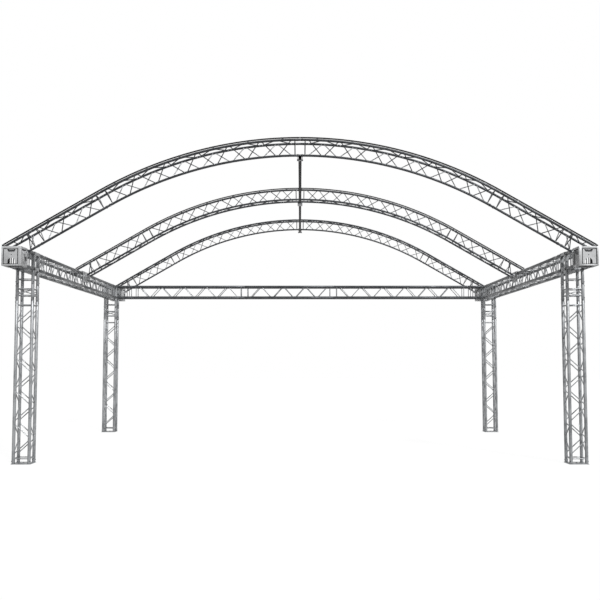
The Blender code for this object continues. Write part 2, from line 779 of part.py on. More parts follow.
def build_ring():
    for end, y_sign in ENDS.items():
        for side, x_sign in SIDES.items():
            arms = [ALONG_Y, -ALONG_Y]
            if y_sign > 0:
                arms.append(ALONG_X * -x_sign)
            corner_block(f"corner_{end}_{side}", x_sign * HALF_WIDTH, y_sign * HALF_DEPTH, arms)
            end_block(f"end_block_{end}_{side}", x_sign, y_sign)
            start = Vector((x_sign * HALF_WIDTH, 0, RING_Z))
            square_truss(f"side_truss_{side}_{end}", start, ALONG_Y * y_sign,
                         HALF_DEPTH - ARM_LENGTH, 0 if x_sign < 0 else 1)
    lengths = {
        "left": REAR_LEFT_LENGTH,
        "middle": STAGE_WIDTH - 2 * ARM_LENGTH - REAR_LEFT_LENGTH - REAR_RIGHT_LENGTH,
        "right": REAR_RIGHT_LENGTH,
    }
    x = ARM_LENGTH - HALF_WIDTH
    for place, length in lengths.items():
        phase = 0 if place == "middle" else 1
        square_truss(f"rear_truss_{place}", Vector((x, HALF_DEPTH, RING_Z)), ALONG_X, length, phase)
        x += length


def build_arches():
    block_face = HALF_WIDTH - BLOCK_SIZE / 2
    seat_face = HALF_WIDTH - HALF_PITCH - CHORD_RADIUS - FIT - SEAT_THICKNESS
    arches = {
        "front": Arch(-BLOCK_Y, True, 1, block_face, BLOCK_TOP, -1),
        "middle": Arch(0, False, 0, seat_face, SEAT_TOP, 0),
        "rear": Arch(BLOCK_Y, True, 0, block_face, BLOCK_TOP, 1),
    }
    for place, arch in arches.items():
        for side, sign in SIDES.items():
            laced_arch_piece(f"arch_{place}_curve_{side}", curve_lines(arch, sign), ARCH_BAYS,
                             arch.phase)
            laced_arch_piece(f"arch_{place}_straight_{side}", straight_lines(arch, sign),
                             STRAIGHT_BAYS, arch.phase)
            arch_foot(f"arch_{place}_foot_{side}", arch, sign)
            foot_pin(f"foot_pin_{place}_{side}", sign, arch.seat_face, arch.lug_ys())
        keder_rail(f"keder_rail_{place}", arch)
        ridge_clamp(f"ridge_clamp_{place}", arch)
    for side, sign in SIDES.items():
        middle_seat(f"middle_seat_{side}", sign)
    ridge_tube()


clear_scene()
MATERIALS = {
    "truss": make_material("mill_aluminium", (0.55, 0.56, 0.57), 1.0, 0.38),
    "arch": make_material("arch_aluminium", (0.36, 0.37, 0.38), 1.0, 0.40),
    "block": make_material("satin_aluminium", (0.66, 0.67, 0.68), 1.0, 0.45),
    "plate": make_material("aluminium_plate", (0.60, 0.61, 0.62), 1.0, 0.42),
    "rail": make_material("extruded_aluminium", (0.42, 0.43, 0.44), 1.0, 0.35),
    "ridge": make_material("dark_tube", (0.06, 0.06, 0.065), 0.8, 0.45),
    "steel": make_material("zinc_plated_steel", (0.20, 0.20, 0.21), 1.0, 0.35),
}
build_towers()
build_ring()
build_arches()
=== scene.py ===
"""Dresses the arched truss stage roof: round tubes with welded lacing, couplers with their drive pins,
slotted rails, block and clamp details, metals, floor, light and camera."""

import math
from collections import namedtuple

import bmesh
import bpy
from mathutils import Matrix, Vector


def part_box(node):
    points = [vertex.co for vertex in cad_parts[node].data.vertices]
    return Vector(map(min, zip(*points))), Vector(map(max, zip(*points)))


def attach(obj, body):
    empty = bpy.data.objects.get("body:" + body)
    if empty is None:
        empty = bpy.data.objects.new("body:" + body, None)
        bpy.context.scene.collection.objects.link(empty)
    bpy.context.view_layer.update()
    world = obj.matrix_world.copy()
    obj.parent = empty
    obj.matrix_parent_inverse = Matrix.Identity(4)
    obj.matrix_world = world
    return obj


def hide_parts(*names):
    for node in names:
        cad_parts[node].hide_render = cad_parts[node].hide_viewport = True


bl_info = {
    "name": "Arched truss stage roof",
    "version": (1, 0, 0),
    "blender": (4, 5, 0),
    "location": "3D View > Sidebar > Stage roof",
    "description": "Builds the tubes, fittings and materials of an arched truss stage roof on its frame",
    "category": "Object",
}

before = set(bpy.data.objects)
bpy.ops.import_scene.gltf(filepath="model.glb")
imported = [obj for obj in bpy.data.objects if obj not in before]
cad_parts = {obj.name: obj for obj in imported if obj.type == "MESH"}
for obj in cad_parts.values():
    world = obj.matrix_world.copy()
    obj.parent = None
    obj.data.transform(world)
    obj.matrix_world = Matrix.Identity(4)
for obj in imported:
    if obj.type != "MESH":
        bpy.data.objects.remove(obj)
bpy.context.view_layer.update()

# Square truss, towers and ring, as the solids have them
CHORD_RADIUS = 0.025
HALF_PITCH = 0.12
LACING_RADIUS = 0.0085
LACING_FOOT = 0.033
LACING_BAY = 0.25
END_BAY = 0.125
RUNG_INSET = 0.075
HALF_WIDTH = 4.25
HALF_DEPTH = 3.0
PLATE_THICKNESS = 0.01
TOWER_LENGTH = 2.5
SPACER_LENGTH = 0.25
LEG_LENGTH = 0.355
ARM_LENGTH = 0.5
ARM_SPACER = 0.25
REAR_LENGTHS = {"left": 2.5, "middle": 2.0, "right": 3.0}
BLOCK_HALF = 0.145

# Arches, their feet and seats
ARCH_TUBE_RADIUS = 0.0175
ARCH_LACING_RADIUS = 0.0075
ARCH_RADIUS = 5.93
ARCH_QUARTERS = 1 / 3
ARCH_BAYS = 12
ARCH_END_BAY = 0.11
STRAIGHT_BAYS = 4
FOOT_LENGTH = 0.439
FOOT_OUTREACH = 0.1
FOOT_TIE_INSET = 0.13
STRUT_HEAD_SHARE = 0.22
FOOT_RUNG_SHARE = 0.42
STRUT_FOOT_SHARE = 0.86
LUG_REACH = 0.03
LUG_NOSE = 0.016
LUG_ROOT = 0.045
LUG_THICKNESS = 0.012
PIN_STANDOFF = 0.044
PIN_RADIUS = 0.008
SEAT_THICKNESS = 0.01
SEAT_LENGTH = 0.34
SEAT_SKIRT = 0.2
SEAT_BEND = 0.008

# Rails and ridge
RAIL_HEIGHT = 0.022
RAIL_STANDOFF = 0.0028
RAIL_END_INSET = 0.07
RAIL_FOOT_X = 4.374
RAIL_FOOT_HEIGHT = 0.024
RAIL_FOOT_REACH = 0.015
CLIP_SPACING = 0.5
CLIP_LENGTH = 0.03
RIDGE_RADIUS = 0.024
RIDGE_WALL = 0.004
RIDGE_OVERHANG = 0.07
CLAMP_SPREAD = 0.036

# Fittings that are finer than the solids
JOINT_GAP = 0.0016
RAIL_GAP = 0.0012
RIM = 0.0025
PIN_PROUD = 0.0045
PIN_SETBACK = 0.032
FOOT_PIN_SETBACK = 0.036
CLIP_WIRE = 0.0014
FRAME_BAR = 0.0255
EDGE = 0.0025
BLOCK_FRAME = 0.034
OUTER_POST = 0.022
PANEL_SHIFT = BLOCK_FRAME - OUTER_POST
PANEL_SETBACK = 0.005
SIDE_PANEL_SETBACK = 0.014
SHADOW_GAP = 0.013
PANEL_GAP = 0.01
DOOR_RADIUS = 0.055
EAR_THICKNESS = 0.01
EAR_NOSE = 0.016
BOW_RADIUS = ARCH_TUBE_RADIUS + 0.0045
BOW_WIRE = 0.0035

# Lathe profiles: (distance along the axis, radius)
PLATE_SOCKET = [(0, 0.0262), (0.004, 0.0262), (0.005, 0.0252), (0.006, 0.0252)]
PLATE_HUB = [(0, 0.012), (0.006, 0.012), (0.0075, 0.0105), (0.0075, 0.006), (0.003, 0.006)]
CLAMP_NUT = [(0, 0.0082), (0.001, 0.0088), (0.0055, 0.0088), (0.0065, 0.0075)]
RIVET = [(0, 0.005), (0.001, 0.0048), (0.0016, 0.003)]
PANEL_SCREW = [(0, 0.0075), (0.0022, 0.0072), (0.0034, 0.004)]
SEAT_BOLT = [(0, 0.013), (0.0014, 0.0128), (0.0015, 0.0092), (0.0078, 0.0092), (0.0088, 0.0078)]
SKIRT_BOLT = [(0, 0.012), (0.0014, 0.0118), (0.0015, 0.0088), (0.0075, 0.0088), (0.0085, 0.0075)]

# Half of the keder rail's section, (across, up), with the slot in its side
RAIL_SECTION = [(0.0, -0.0052), (0.0128, -0.0052), (0.0136, -0.0044), (0.0136, 0.0036),
                (0.0118, 0.0036), (0.0118, 0.002), (0.006, 0.002), (0.006, 0.0086), (0.0118, 0.0086),
                (0.0118, 0.007), (0.0136, 0.007), (0.0136, 0.0098), (0.012, 0.011)]

# Patterns in the metals, in millimetres. Real drawing lines are about 0.1 mm apart, real weld ripples
# 1 mm and real peel 0.5 mm: they are drawn coarser here, so that they show.
LINE_WIDTH = 1.11
LINE_LENGTH = 71.4
STAIN_SIZE = 182
SCUFF_SIZE = 14.3
RIPPLE_SIZE = 3.85
BURN_SIZE = 26.3
PEEL_SIZE = 2.38
WEAR_SIZE = 41.7

# Light, floor and camera
WHITE = (1, 1, 1, 1)
KEY_TURN = (56, 0, 26)
KEY_SPREAD = 8
FLOOR_RADIUS = 60
FLOOR_DROP = 0.0005
FLOOR_LIFT = 0.92
SENSOR_WIDTH = 36
PHOTO_WIDTH = 600
VIEW_DEPTH = 200

# Heights and places that follow from the sizes
RING_Z = PLATE_THICKNESS + TOWER_LENGTH + SPACER_LENGTH + LEG_LENGTH
TRIANGLE_DEPTH = HALF_PITCH * math.sqrt(3)
BLOCK_Y = HALF_DEPTH + ARM_LENGTH + BLOCK_HALF
BLOCK_TOP = RING_Z + BLOCK_HALF
BLOCK_FACE = HALF_WIDTH - BLOCK_HALF
SEAT_TOP = RING_Z + HALF_PITCH + CHORD_RADIUS + SEAT_THICKNESS
SEAT_FACE = HALF_WIDTH - HALF_PITCH - CHORD_RADIUS - SEAT_THICKNESS
FOOT_X = HALF_WIDTH + FOOT_OUTREACH
SINE = math.sin(math.pi / 2 * ARCH_QUARTERS)
COSINE = math.cos(math.pi / 2 * ARCH_QUARTERS)
ARCH_CENTRE_Z = BLOCK_TOP + (FOOT_X - ARCH_RADIUS * SINE) * SINE / COSINE - ARCH_RADIUS * COSINE
STRAIGHT_LENGTH = (FOOT_X - ARCH_RADIUS * SINE) / COSINE - FOOT_LENGTH
INNER_APEX_Z = ARCH_CENTRE_Z + ARCH_RADIUS - TRIANGLE_DEPTH
RIDGE_Z = (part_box("ridge_tube")[0].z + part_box("ridge_tube")[1].z) / 2

BOTH = (-1, 1)
SIDES = {"left": -1, "right": 1}
PLACES = [(end, side, x_sign, y_sign) for end, y_sign in (("front", -1), ("rear", 1))
          for side, x_sign in SIDES.items()]
OPEN = (False, False)
UP = Vector((0, 0, 1))
ALONG_X = Vector((1, 0, 0))
ALONG_Y = Vector((0, 1, 0))

# An arch's place, its three chords as (offset along Y, depth inwards), its lacing's phase and its seat
Arch = namedtuple("Arch", "y chords phase seat_face seat_top rail_chord")
POINT_DOWN = [(-HALF_PITCH, 0), (HALF_PITCH, 0), (0, TRIANGLE_DEPTH)]
POINT_UP = [(0, 0), (-HALF_PITCH, TRIANGLE_DEPTH), (HALF_PITCH, TRIANGLE_DEPTH)]
ARCHES = {
    "front": Arch(-BLOCK_Y, POINT_DOWN, 1, BLOCK_FACE, BLOCK_TOP, -1),
    "middle": Arch(0, POINT_UP, 0, SEAT_FACE, SEAT_TOP, 0),
    "rear": Arch(BLOCK_Y, POINT_DOWN, 0, BLOCK_FACE, BLOCK_TOP, 1),
}

# Numbers of the Mix node's colour sockets, whose names its other sockets share
MIX_LOW = 6
MIX_HIGH = 7
MIX_RESULT = 2

MATERIALS = {}


def linear(code):
    """An sRGB hex colour as a linear RGBA tuple."""
    channels = [int(code[i:i + 2], 16) / 255 for i in (1, 3, 5)]
    return tuple(c / 12.92 if c <= 0.04045 else ((c + 0.055) / 1.055) ** 2.4 for c in channels) + (1.0,)


def per_metre(size):
    """How often a pattern of that many millimetres fits in a metre."""
    return 1000 / size


def arc(start, stop, steps):
    """Cosine and sine of evenly spread angles, from start to stop in quarter turns."""
    angles = [math.pi / 2 * (start + (stop - start) * k / steps) for k in range(steps + 1)]
    return [(math.cos(angle), math.sin(angle)) for angle in angles]


def set_sockets(node, values):
    """Set or link a node's sockets, by name or number."""
    for key, value in values.items():
        if isinstance(value, bpy.types.NodeSocket):
            node.id_data.links.new(value, node.inputs[key])
        else:
            node.inputs[key].default_value = value


def add_node(tree, kind, values=None, **settings):
    """Add a node with its settings and links, and give its outputs."""
    node = tree.nodes.new(kind)
    for key, value in settings.items():
        setattr(node, key, value)
    set_sockets(node, values or {})
    return node.outputs


def two_tone(tree, pattern, low, high, start, stop):
    """A colour that goes from low to high while the pattern goes from start to stop."""
    share = add_node(tree, "ShaderNodeMapRange", {"Value": pattern, "From Min": start, "From Max": stop})
    return add_node(tree, "ShaderNodeMix", {0: share["Result"], MIX_LOW: low, MIX_HIGH: high},
                    data_type="RGBA")[MIX_RESULT]


def surface(tree, colour, metallic, roughness, gloss, relief, strength, depth):
    """Give a material's surface its values, and a bump from the relief."""
    bump = add_node(tree, "ShaderNodeBump", {"Height": relief, "Strength": strength, "Distance": depth})
    set_sockets(tree.nodes["Principled BSDF"], {
        "Base Color": colour, "Metallic": metallic, "Roughness": roughness, "Specular IOR Level": gloss,
        "Normal": bump["Normal"]})


def seen_white(tree):
    """1 for camera, glossy and transmission rays, which see the white background."""
    path = add_node(tree, "ShaderNodeLightPath")
    seen = path["Is Camera Ray"]
    for kind in ("Is Glossy Ray", "Is Transmission Ray"):
        seen = add_node(tree, "ShaderNodeMath", {0: seen, 1: path[kind]}, operation="MAXIMUM")["Value"]
    return seen


def new_material(name):
    material = bpy.data.materials.new(name)
    material.use_nodes = True
    return material, material.node_tree


def drawn_metal(name, code, dark_code, metallic, roughness, grain=1.0):
    """Drawn, rolled or extruded metal: fine lines along it, cloudy stains and dull scuffs."""
    material, tree = new_material(name)
    place = add_node(tree, "ShaderNodeTexCoord")["Object"]
    lengthwise = add_node(tree, "ShaderNodeMapping", {
        "Vector": add_node(tree, "ShaderNodeUVMap", uv_map="UVMap")["UV"],
        "Scale": (per_metre(LINE_WIDTH), per_metre(LINE_LENGTH), 1.0)})
    lines = add_node(tree, "ShaderNodeTexNoise", {"Vector": lengthwise["Vector"], "Scale": 1.0,
                                                  "Detail": 3.0, "Roughness": 0.6})
    cloud = add_node(tree, "ShaderNodeTexNoise", {"Vector": place, "Scale": per_metre(STAIN_SIZE),
                                                  "Detail": 5.0, "Roughness": 0.62, "Distortion": 0.4})
    scuffs = add_node(tree, "ShaderNodeTexNoise", {"Vector": place, "Scale": per_metre(SCUFF_SIZE),
                                                   "Detail": 4.0, "Roughness": 0.7})
    stain = two_tone(tree, cloud["Fac"], linear(dark_code), linear(code), 0.36, 0.56)
    fleck = two_tone(tree, scuffs["Fac"], (0.78, 0.78, 0.78, 1), WHITE, 0.34, 0.5)
    colour = add_node(tree, "ShaderNodeMix", {0: 0.55, MIX_LOW: stain, MIX_HIGH: fleck},
                      data_type="RGBA", blend_type="MULTIPLY")[MIX_RESULT]
    rough = add_node(tree, "ShaderNodeMapRange", {
        "Value": cloud["Fac"], "From Min": 0.3, "From Max": 0.7, "To Min": roughness + 0.07,
        "To Max": roughness - 0.05})["Result"]
    surface(tree, colour, metallic, rough, 0.2, lines["Fac"], 0.12 * grain, 0.0004)
    return material


def weld_metal(name, code, dark_code):
    """Beaded weld metal with a burnt rim."""
    material, tree = new_material(name)
    place = add_node(tree, "ShaderNodeTexCoord")["Object"]
    beads = add_node(tree, "ShaderNodeTexVoronoi", {"Vector": place, "Scale": per_metre(RIPPLE_SIZE)})
    burn = add_node(tree, "ShaderNodeTexNoise", {"Vector": place, "Scale": per_metre(BURN_SIZE),
                                                 "Detail": 3.0})
    colour = two_tone(tree, burn["Fac"], linear(dark_code), linear(code), 0.35, 0.6)
    surface(tree, colour, 0.6, 0.5, 0.5, beads["Distance"], 0.5, 0.0012)
    return material


def coated_metal(name, code, worn_code, metallic, roughness, gloss=0.5):
    """A coated or plated surface with a faint peel and small worn spots."""
    material, tree = new_material(name)
    place = add_node(tree, "ShaderNodeTexCoord")["Object"]
    peel = add_node(tree, "ShaderNodeTexNoise", {"Vector": place, "Scale": per_metre(PEEL_SIZE),
                                                 "Detail": 2.0})
    wear = add_node(tree, "ShaderNodeTexNoise", {"Vector": place, "Scale": per_metre(WEAR_SIZE),
                                                 "Detail": 7.0, "Roughness": 0.72})
    colour = two_tone(tree, wear["Fac"], linear(code), linear(worn_code), 0.58, 0.74)
    rough = add_node(tree, "ShaderNodeMapRange", {
        "Value": wear["Fac"], "From Min": 0.3, "From Max": 0.7, "To Min": roughness - 0.06,
        "To Max": roughness + 0.08})["Result"]
    surface(tree, colour, metallic, rough, gloss, peel["Fac"], 0.15, 0.0003)
    return material


def make_materials(looks):
    """Make the roof's metals. Their oxide skin dulls them, so few are fully metallic."""
    MATERIALS.update({
        # Mill finish aluminium tube: satin grey, drawn lines, pale where handling rubs it
        "truss": drawn_metal("mill_finish_tube", looks.truss_colour, looks.truss_stain, 0.4, 0.34),
        # The same tube darkened for the level chords and the arches: painted shade, with cloudy stains on
        # it
        "ring": drawn_metal("shaded_ring_tube", looks.ring_shaded_colour, looks.ring_shaded_stain, 0.4, 0.34),
        "arch": drawn_metal("shaded_arch_tube", looks.arch_shaded_colour, looks.arch_shaded_stain, 0.4, 0.34),
        # Brushed aluminium sheet: pale and matt, with hardly a stain
        "block": drawn_metal("brushed_sheet", looks.block_colour, looks.block_stain, 0.25, 0.42, 0.6),
        # Rolled aluminium plate: mid grey, faint rolling lines
        "plate": drawn_metal("rolled_plate", "#9a9c9e", "#86888a", 0.6, 0.42, 0.6),
        # Black anodised extrusion: nearly black with a dull sheen
        "rail": drawn_metal("black_anodised_extrusion", "#1d1e1f", "#161718", 0.1, 0.5),
        # Welded aluminium: rippled beads, bright in the middle and burnt at the rim
        "weld": weld_metal("weld_bead", "#a5a7a9", "#6d6e70"),
        # Turned aluminium: dark and bare, with a tight shine
        "coupler": drawn_metal("turned_aluminium", "#5c5e61", "#47494b", 0.8, 0.3),
        # Black powder coat: matt, with a faint peel and no metal shine
        "ridge": coated_metal("black_powder_coat", "#171718", "#242426", 0.0, 0.6, 0.1),
        # Zinc plated steel: mid grey with a metal shine and dull worn spots
        "pin": coated_metal("zinc_plated_steel", "#55575a", "#6c6e70", 0.85, 0.32),
        # Black zinc on steel: darker, worn to grey on its edges
        "clamp": coated_metal("black_zinc_steel", "#3c3d40", "#555759", 0.7, 0.38),
        # Dull dark aluminium for small parts, and dark sheets in gaps and hollows as painted shade
        "dirt_and_painted_shade": coated_metal("dark_aluminium_and_painted_shade", "#2a2b2d", "#353638", 0.3, 0.6),
    })


def add_object(name, data):
    obj = bpy.data.objects.new(name, data)
    bpy.context.scene.collection.objects.link(obj)
    return obj


class Piece:
    """A mesh in the making, named for its node: every face gets a material by name."""

    def __init__(self, node, ending):
        self.node = node
        self.name = f"{node}_{ending}"
        self.bm = bmesh.new()
        self.uv = self.bm.loops.layers.uv.new("UVMap")
        self.metals = []

    def face(self, verts, material, smooth=True, uvs=None):
        face = self.bm.faces.new(verts)
        if material not in self.metals:
            self.metals.append(material)
        face.material_index = self.metals.index(material)
        face.smooth = smooth
        for i, loop in enumerate(face.loops):
            x, y, z = loop.vert.co
            loop[self.uv].uv = uvs[i] if uvs else (x + y * 0.5, z + y * 0.5)

    def skin(self, rings, centres, widths, material, smooth=True, ends=(True, True)):
        """Join rings of points by faces. Tubes are made so, because their UVs, which the drawn lines
        follow, have to run along the centres."""
        rings = [[self.bm.verts.new(point) for point in ring] for ring in rings]
        start = 0.0
        for i, width in enumerate(widths):
            stop = start + (centres[i + 1] - centres[i]).length
            for k in range(len(rings[i])):
                after = (k + 1) % len(rings[i])
                uvs = [(k * width, start), ((k + 1) * width, start), ((k + 1) * width, stop),
                       (k * width, stop)]
                self.face((rings[i][k], rings[i][after], rings[i + 1][after], rings[i + 1][k]), material,
                          smooth, uvs)
            start = stop
        for ring, closed in ((rings[0][::-1], ends[0]), (rings[-1], ends[1])):
            if closed:
                self.face(ring, material, False)

    def sweep(self, stations, material, sides, ends=(True, True)):
        """A tube through (centre, side, normal, radius) stations."""
        rings = [[centre + (side * cosine + normal * sine) * radius
                  for cosine, sine in arc(0, 4, sides)[:-1]]
                 for centre, side, normal, radius in stations]
        widths = [2 * math.pi * max(a[3], b[3]) / sides for a, b in zip(stations, stations[1:])]
        self.skin(rings, [station[0] for station in stations], widths, material, True, ends)

    def lathe(self, start, axis, profile, material, sides=12, ends=(True, True)):
        """Turn (distance, radius) pairs round an axis."""
        axis = axis.normalized()
        side = axis.orthogonal().normalized()
        self.sweep([(start + axis * distance, side, axis.cross(side), radius)
                    for distance, radius in profile], material, sides, ends)

    def prism(self, outline, offset, material, bevel=0.0):
        """A prism from a ring of points."""
        part = bmesh.new()
        base = part.faces.new([part.verts.new(point) for point in outline])
        moved = bmesh.ops.extrude_face_region(part, geom=[base])["geom"]
        bmesh.ops.translate(part, vec=offset, verts=[v for v in moved if isinstance(v, bmesh.types.BMVert)])
        self.take(part, material, bevel)

    def brick(self, centre, half, material, bevel=0.0):
        """A block round its centre, from its half sizes."""
        part = bmesh.new()
        bmesh.ops.create_cube(part, size=2)
        bmesh.ops.scale(part, vec=half, verts=part.verts)
        bmesh.ops.translate(part, vec=centre, verts=part.verts)
        self.take(part, material, bevel)

    def box(self, low, high, material, bevel=0.0):
        low, high = Vector(low), Vector(high)
        self.brick((low + high) / 2, (high - low) / 2, material, bevel)

    def take(self, part, material, bevel):
        """Ease another bmesh's edges and move its faces into this piece."""
        bmesh.ops.recalc_face_normals(part, faces=part.faces)
        if bevel:
            bmesh.ops.bevel(part, geom=part.edges[:], offset=bevel, segments=2, profile=0.5,
                            affect="EDGES", clamp_overlap=True, material=-1)
        part.verts.index_update()
        copies = [self.bm.verts.new(vert.co) for vert in part.verts]
        for face in part.faces:
            self.face([copies[vert.index] for vert in face.verts], material, False)
        part.free()

    def finish(self, slot):
        bmesh.ops.remove_doubles(self.bm, verts=self.bm.verts, dist=0.00001)
        bmesh.ops.recalc_face_normals(self.bm, faces=self.bm.faces)
        mesh = bpy.data.meshes.new(self.name)
        self.bm.to_mesh(mesh)
        self.bm.free()
        mesh.set_sharp_from_angle(angle=math.radians(38))
        for metal in self.metals:
            mesh.materials.append(MATERIALS[metal])
        obj = add_object(self.name, mesh)
        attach(obj, "root")
        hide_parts(self.node)


class Line:
    """A chord's centre line: (centre, side, normal) stations, and the tube's radius."""

    def __init__(self, stations, radius=CHORD_RADIUS):
        self.stations = stations
        self.radius = radius
        self.steps = [(b[0] - a[0]).length for a, b in zip(stations, stations[1:])]
        self.length = sum(self.steps)

    def at(self, distance):
        for i, step in enumerate(self.steps):
            if distance <= step or i == len(self.steps) - 1:
                return self.stations[i][0].lerp(self.stations[i + 1][0], distance / step)
            distance -= step

    def trimmed(self, start, end):
        """The stations with both ends moved inwards."""
        stations = [list(station) for station in self.stations]
        stations[0][0] = self.at(start)
        stations[-1][0] = self.at(self.length - end)
        return stations


def straight_line(start, direction, length, side, radius=CHORD_RADIUS):
    normal = direction.cross(side)
    return Line([(start, side, normal), (start + direction * length, side, normal)], radius)


def square_lines(start, direction, length):
    """Four chord lines round an axis, in turn round the section."""
    side = UP.cross(direction) if abs(direction.z) < 0.5 else ALONG_X
    normal = direction.cross(side)
    return [straight_line(start + (side * a + normal * b) * HALF_PITCH, direction, length, side)
            for a, b in ((-1, -1), (1, -1), (1, 1), (-1, 1))]


def around(lines):
    """Each line with the next one round the section."""
    return zip(lines, lines[1:] + lines[:1])


def add_chord(piece, line, material, gaps=(JOINT_GAP, JOINT_GAP)):
    """A round tube with a narrow dark joint at each end and an eased rim."""
    stations = line.trimmed(*gaps)
    (start, side, normal), (end, end_side, end_normal) = stations[0], stations[-1]
    first = (stations[1][0] - start).normalized() * RIM
    last = (end - stations[-2][0]).normalized() * RIM
    eased = line.radius - RIM / 2
    run = [(start, side, normal, eased), (start + first, side, normal, line.radius)]
    run += [(*station, line.radius) for station in stations[1:-1]]
    run += [(end - last, end_side, end_normal, line.radius), (end, end_side, end_normal, eased)]
    piece.sweep(run, material, 20)


def add_bar(piece, line_a, line_b, distance_a, distance_b, material, radius=LACING_RADIUS):
    """A lacing bar between two chords, flared by its welds."""
    start = line_a.at(distance_a)
    axis = line_b.at(distance_b) - start
    length = axis.length
    tube = line_a.radius
    flare = [(tube - 0.006, radius + 0.0055), (tube + 0.0015, radius + 0.0042), (tube + 0.0045, radius)]
    far_flare = [(length - distance, width) for distance, width in reversed(flare)]
    bar = [(tube + 0.004, radius), (length - tube - 0.004, radius)]
    for profile, metal in ((flare, "weld"), (far_flare, "weld"), (bar, material)):
        piece.lathe(start, axis, profile, metal, 10, OPEN)


def add_zigzag(piece, line_a, line_b, bays, end_bay, phase, material, radius=LACING_RADIUS):
    """Diagonals on one face and a rung near each end of it."""
    margin = end_bay / line_a.length
    inset = RUNG_INSET / line_a.length
    step = (1 - 2 * margin) / bays
    bars = []
    for k in range(bays):
        low, high, offset = margin + k * step, margin + (k + 1) * step, LACING_FOOT / 2
        bars.append((high, low, -offset) if (k + phase) % 2 else (low, high, offset))
    for share_a, share_b, offset in bars + [(inset, inset, 0), (1 - inset, 1 - inset, 0)]:
        add_bar(piece, line_a, line_b, share_a * line_a.length + offset,
                share_b * line_b.length - offset, material, radius)


def add_wire_ring(piece, centre, across, axis, reach, material, steps, sides):
    """A spring clip: a ring of wire round an axis."""
    outwards = [across * cosine + axis.cross(across) * sine for cosine, sine in arc(0, 4, steps)]
    piece.sweep([(centre + outward * reach, outward, axis, CLIP_WIRE) for outward in outwards],
                material, sides, OPEN)


def add_drive_pin(piece, centre, direction, across, radius=CHORD_RADIUS):
    """A tapered pin through a coupler, with a head and a spring clip at its thin end."""
    half = radius + PIN_PROUD
    piece.lathe(centre - across * half, across,
                [(0, 0.0062), (0.0015, 0.0075), (2 * half - 0.001, 0.0058), (2 * half, 0.005)], "pin", 8)
    add_wire_ring(piece, centre + across * (half - 0.002), direction, across, 0.0085, "pin", 8, 4)


def add_couplings(piece, lines, shares, direction):
    """At shares of each chord: the coupler core in the joint, two receiver collars and drive pins."""
    middle = sum((line.stations[0][0] for line in lines), Vector()) / len(lines)
    for line in lines:
        radius = line.radius
        outward = (line.stations[0][0] - middle).normalized()
        across = (outward - direction * outward.dot(direction)).normalized()
        core = [(0, radius - 0.0045), (0.008, radius - 0.0045)]
        collar = [(0, radius - 0.0008), (0.0005, radius + 0.0004), (0.006, radius + 0.0004),
                  (0.0075, radius - 0.0004)]
        for share in shares:
            joint = line.at(share * line.length)
            piece.lathe(joint - direction * 0.004, direction, core, "dirt_and_painted_shade", 16, OPEN)
            for way, out in ((-direction, -across), (direction, across)):
                piece.lathe(joint + way * 0.0035, way, collar, "coupler", 16, OPEN)
                add_drive_pin(piece, joint + way * PIN_SETBACK, direction, out, radius)


def square_truss(node, start, direction, length, phase, material, joints):
    """A square truss piece with its couplings at the chosen ends."""
    piece = Piece(node, "tubes")
    lines = square_lines(start, direction, length)
    bays = max(round(length / LACING_BAY) - 1, 1)
    for line in lines:
        add_chord(piece, line, material)
    for i, (line, follower) in enumerate(around(lines)):
        add_zigzag(piece, line, follower, bays, END_BAY, (phase + i // 2) % 2, "truss")
    add_couplings(piece, lines, joints, direction)
    piece.finish("truss_tube")


def metal_colour(name, description, default):
    """A colour in the sidebar."""
    return bpy.props.StringProperty(name=name, description=f"{description}, as an sRGB hex code",
                                    default=default)


class RoofLooks(bpy.types.PropertyGroup):
    """Colours of the roof's metals."""

    truss_colour: metal_colour("Truss", "Clean tube of the towers and the lacing", "#a8aaac")
    truss_stain: metal_colour("Truss stain", "Stains on the clean tube", "#828486")
    # The ring and arch colours are the tube darkened as painted shade; their stains are real
    ring_shaded_colour: metal_colour("Ring", "Weathered tube of the level chords", "#545659")
    ring_shaded_stain: metal_colour("Ring stain", "Stains on the level chords", "#434548")
    arch_shaded_colour: metal_colour("Arch", "Weathered tube of the arches", "#434548")
    arch_shaded_stain: metal_colour("Arch stain", "Stains on the arches", "#343639")
    block_colour: metal_colour("Block", "Brushed sheet of the end blocks", "#bfc0c1")
    block_stain: metal_colour("Block stain", "Dulled sheet of the end blocks", "#a9aaab")


class RoofStage(bpy.types.PropertyGroup):
    """Floor, light and camera."""

    floor_colour: bpy.props.StringProperty(
        name="Floor", description="Grey of the floor, which the camera sees as white", default="#5c5c5c")
    key_strength: bpy.props.FloatProperty(
        name="Key light", description="Strength of the soft sun above the front right", default=2.9,
        min=0.0, max=20.0)
    fill_strength: bpy.props.FloatProperty(
        name="Fill light", description="Strength of the even studio light", default=0.24, min=0.0,
        max=5.0)
    focal_pixels: bpy.props.FloatProperty(
        name="Focal length", description="Focal length in pixels of a 600 pixel wide image",
        default=861.6, min=100.0, max=5000.0)
    distance: bpy.props.FloatProperty(
        name="Distance", description="From the camera to the roof's middle, along the ground",
        default=16.39, unit="LENGTH", subtype="DISTANCE")
    height: bpy.props.FloatProperty(
        name="Height", description="Height of the camera above the ground", default=1.566,
        unit="LENGTH", subtype="DISTANCE")
    pitch: bpy.props.FloatProperty(
        name="Pitch", description="How far the camera looks up", default=math.radians(4.07),
        unit="ROTATION", subtype="ANGLE")


class STAGEROOF_OT_materials(bpy.types.Operator):
    """Make the procedural metals"""

    bl_idname = "stage_roof.materials"
    bl_label = "Metals"

    def execute(self, context):
        make_materials(context.scene.roof_looks)
        return {"FINISHED"}


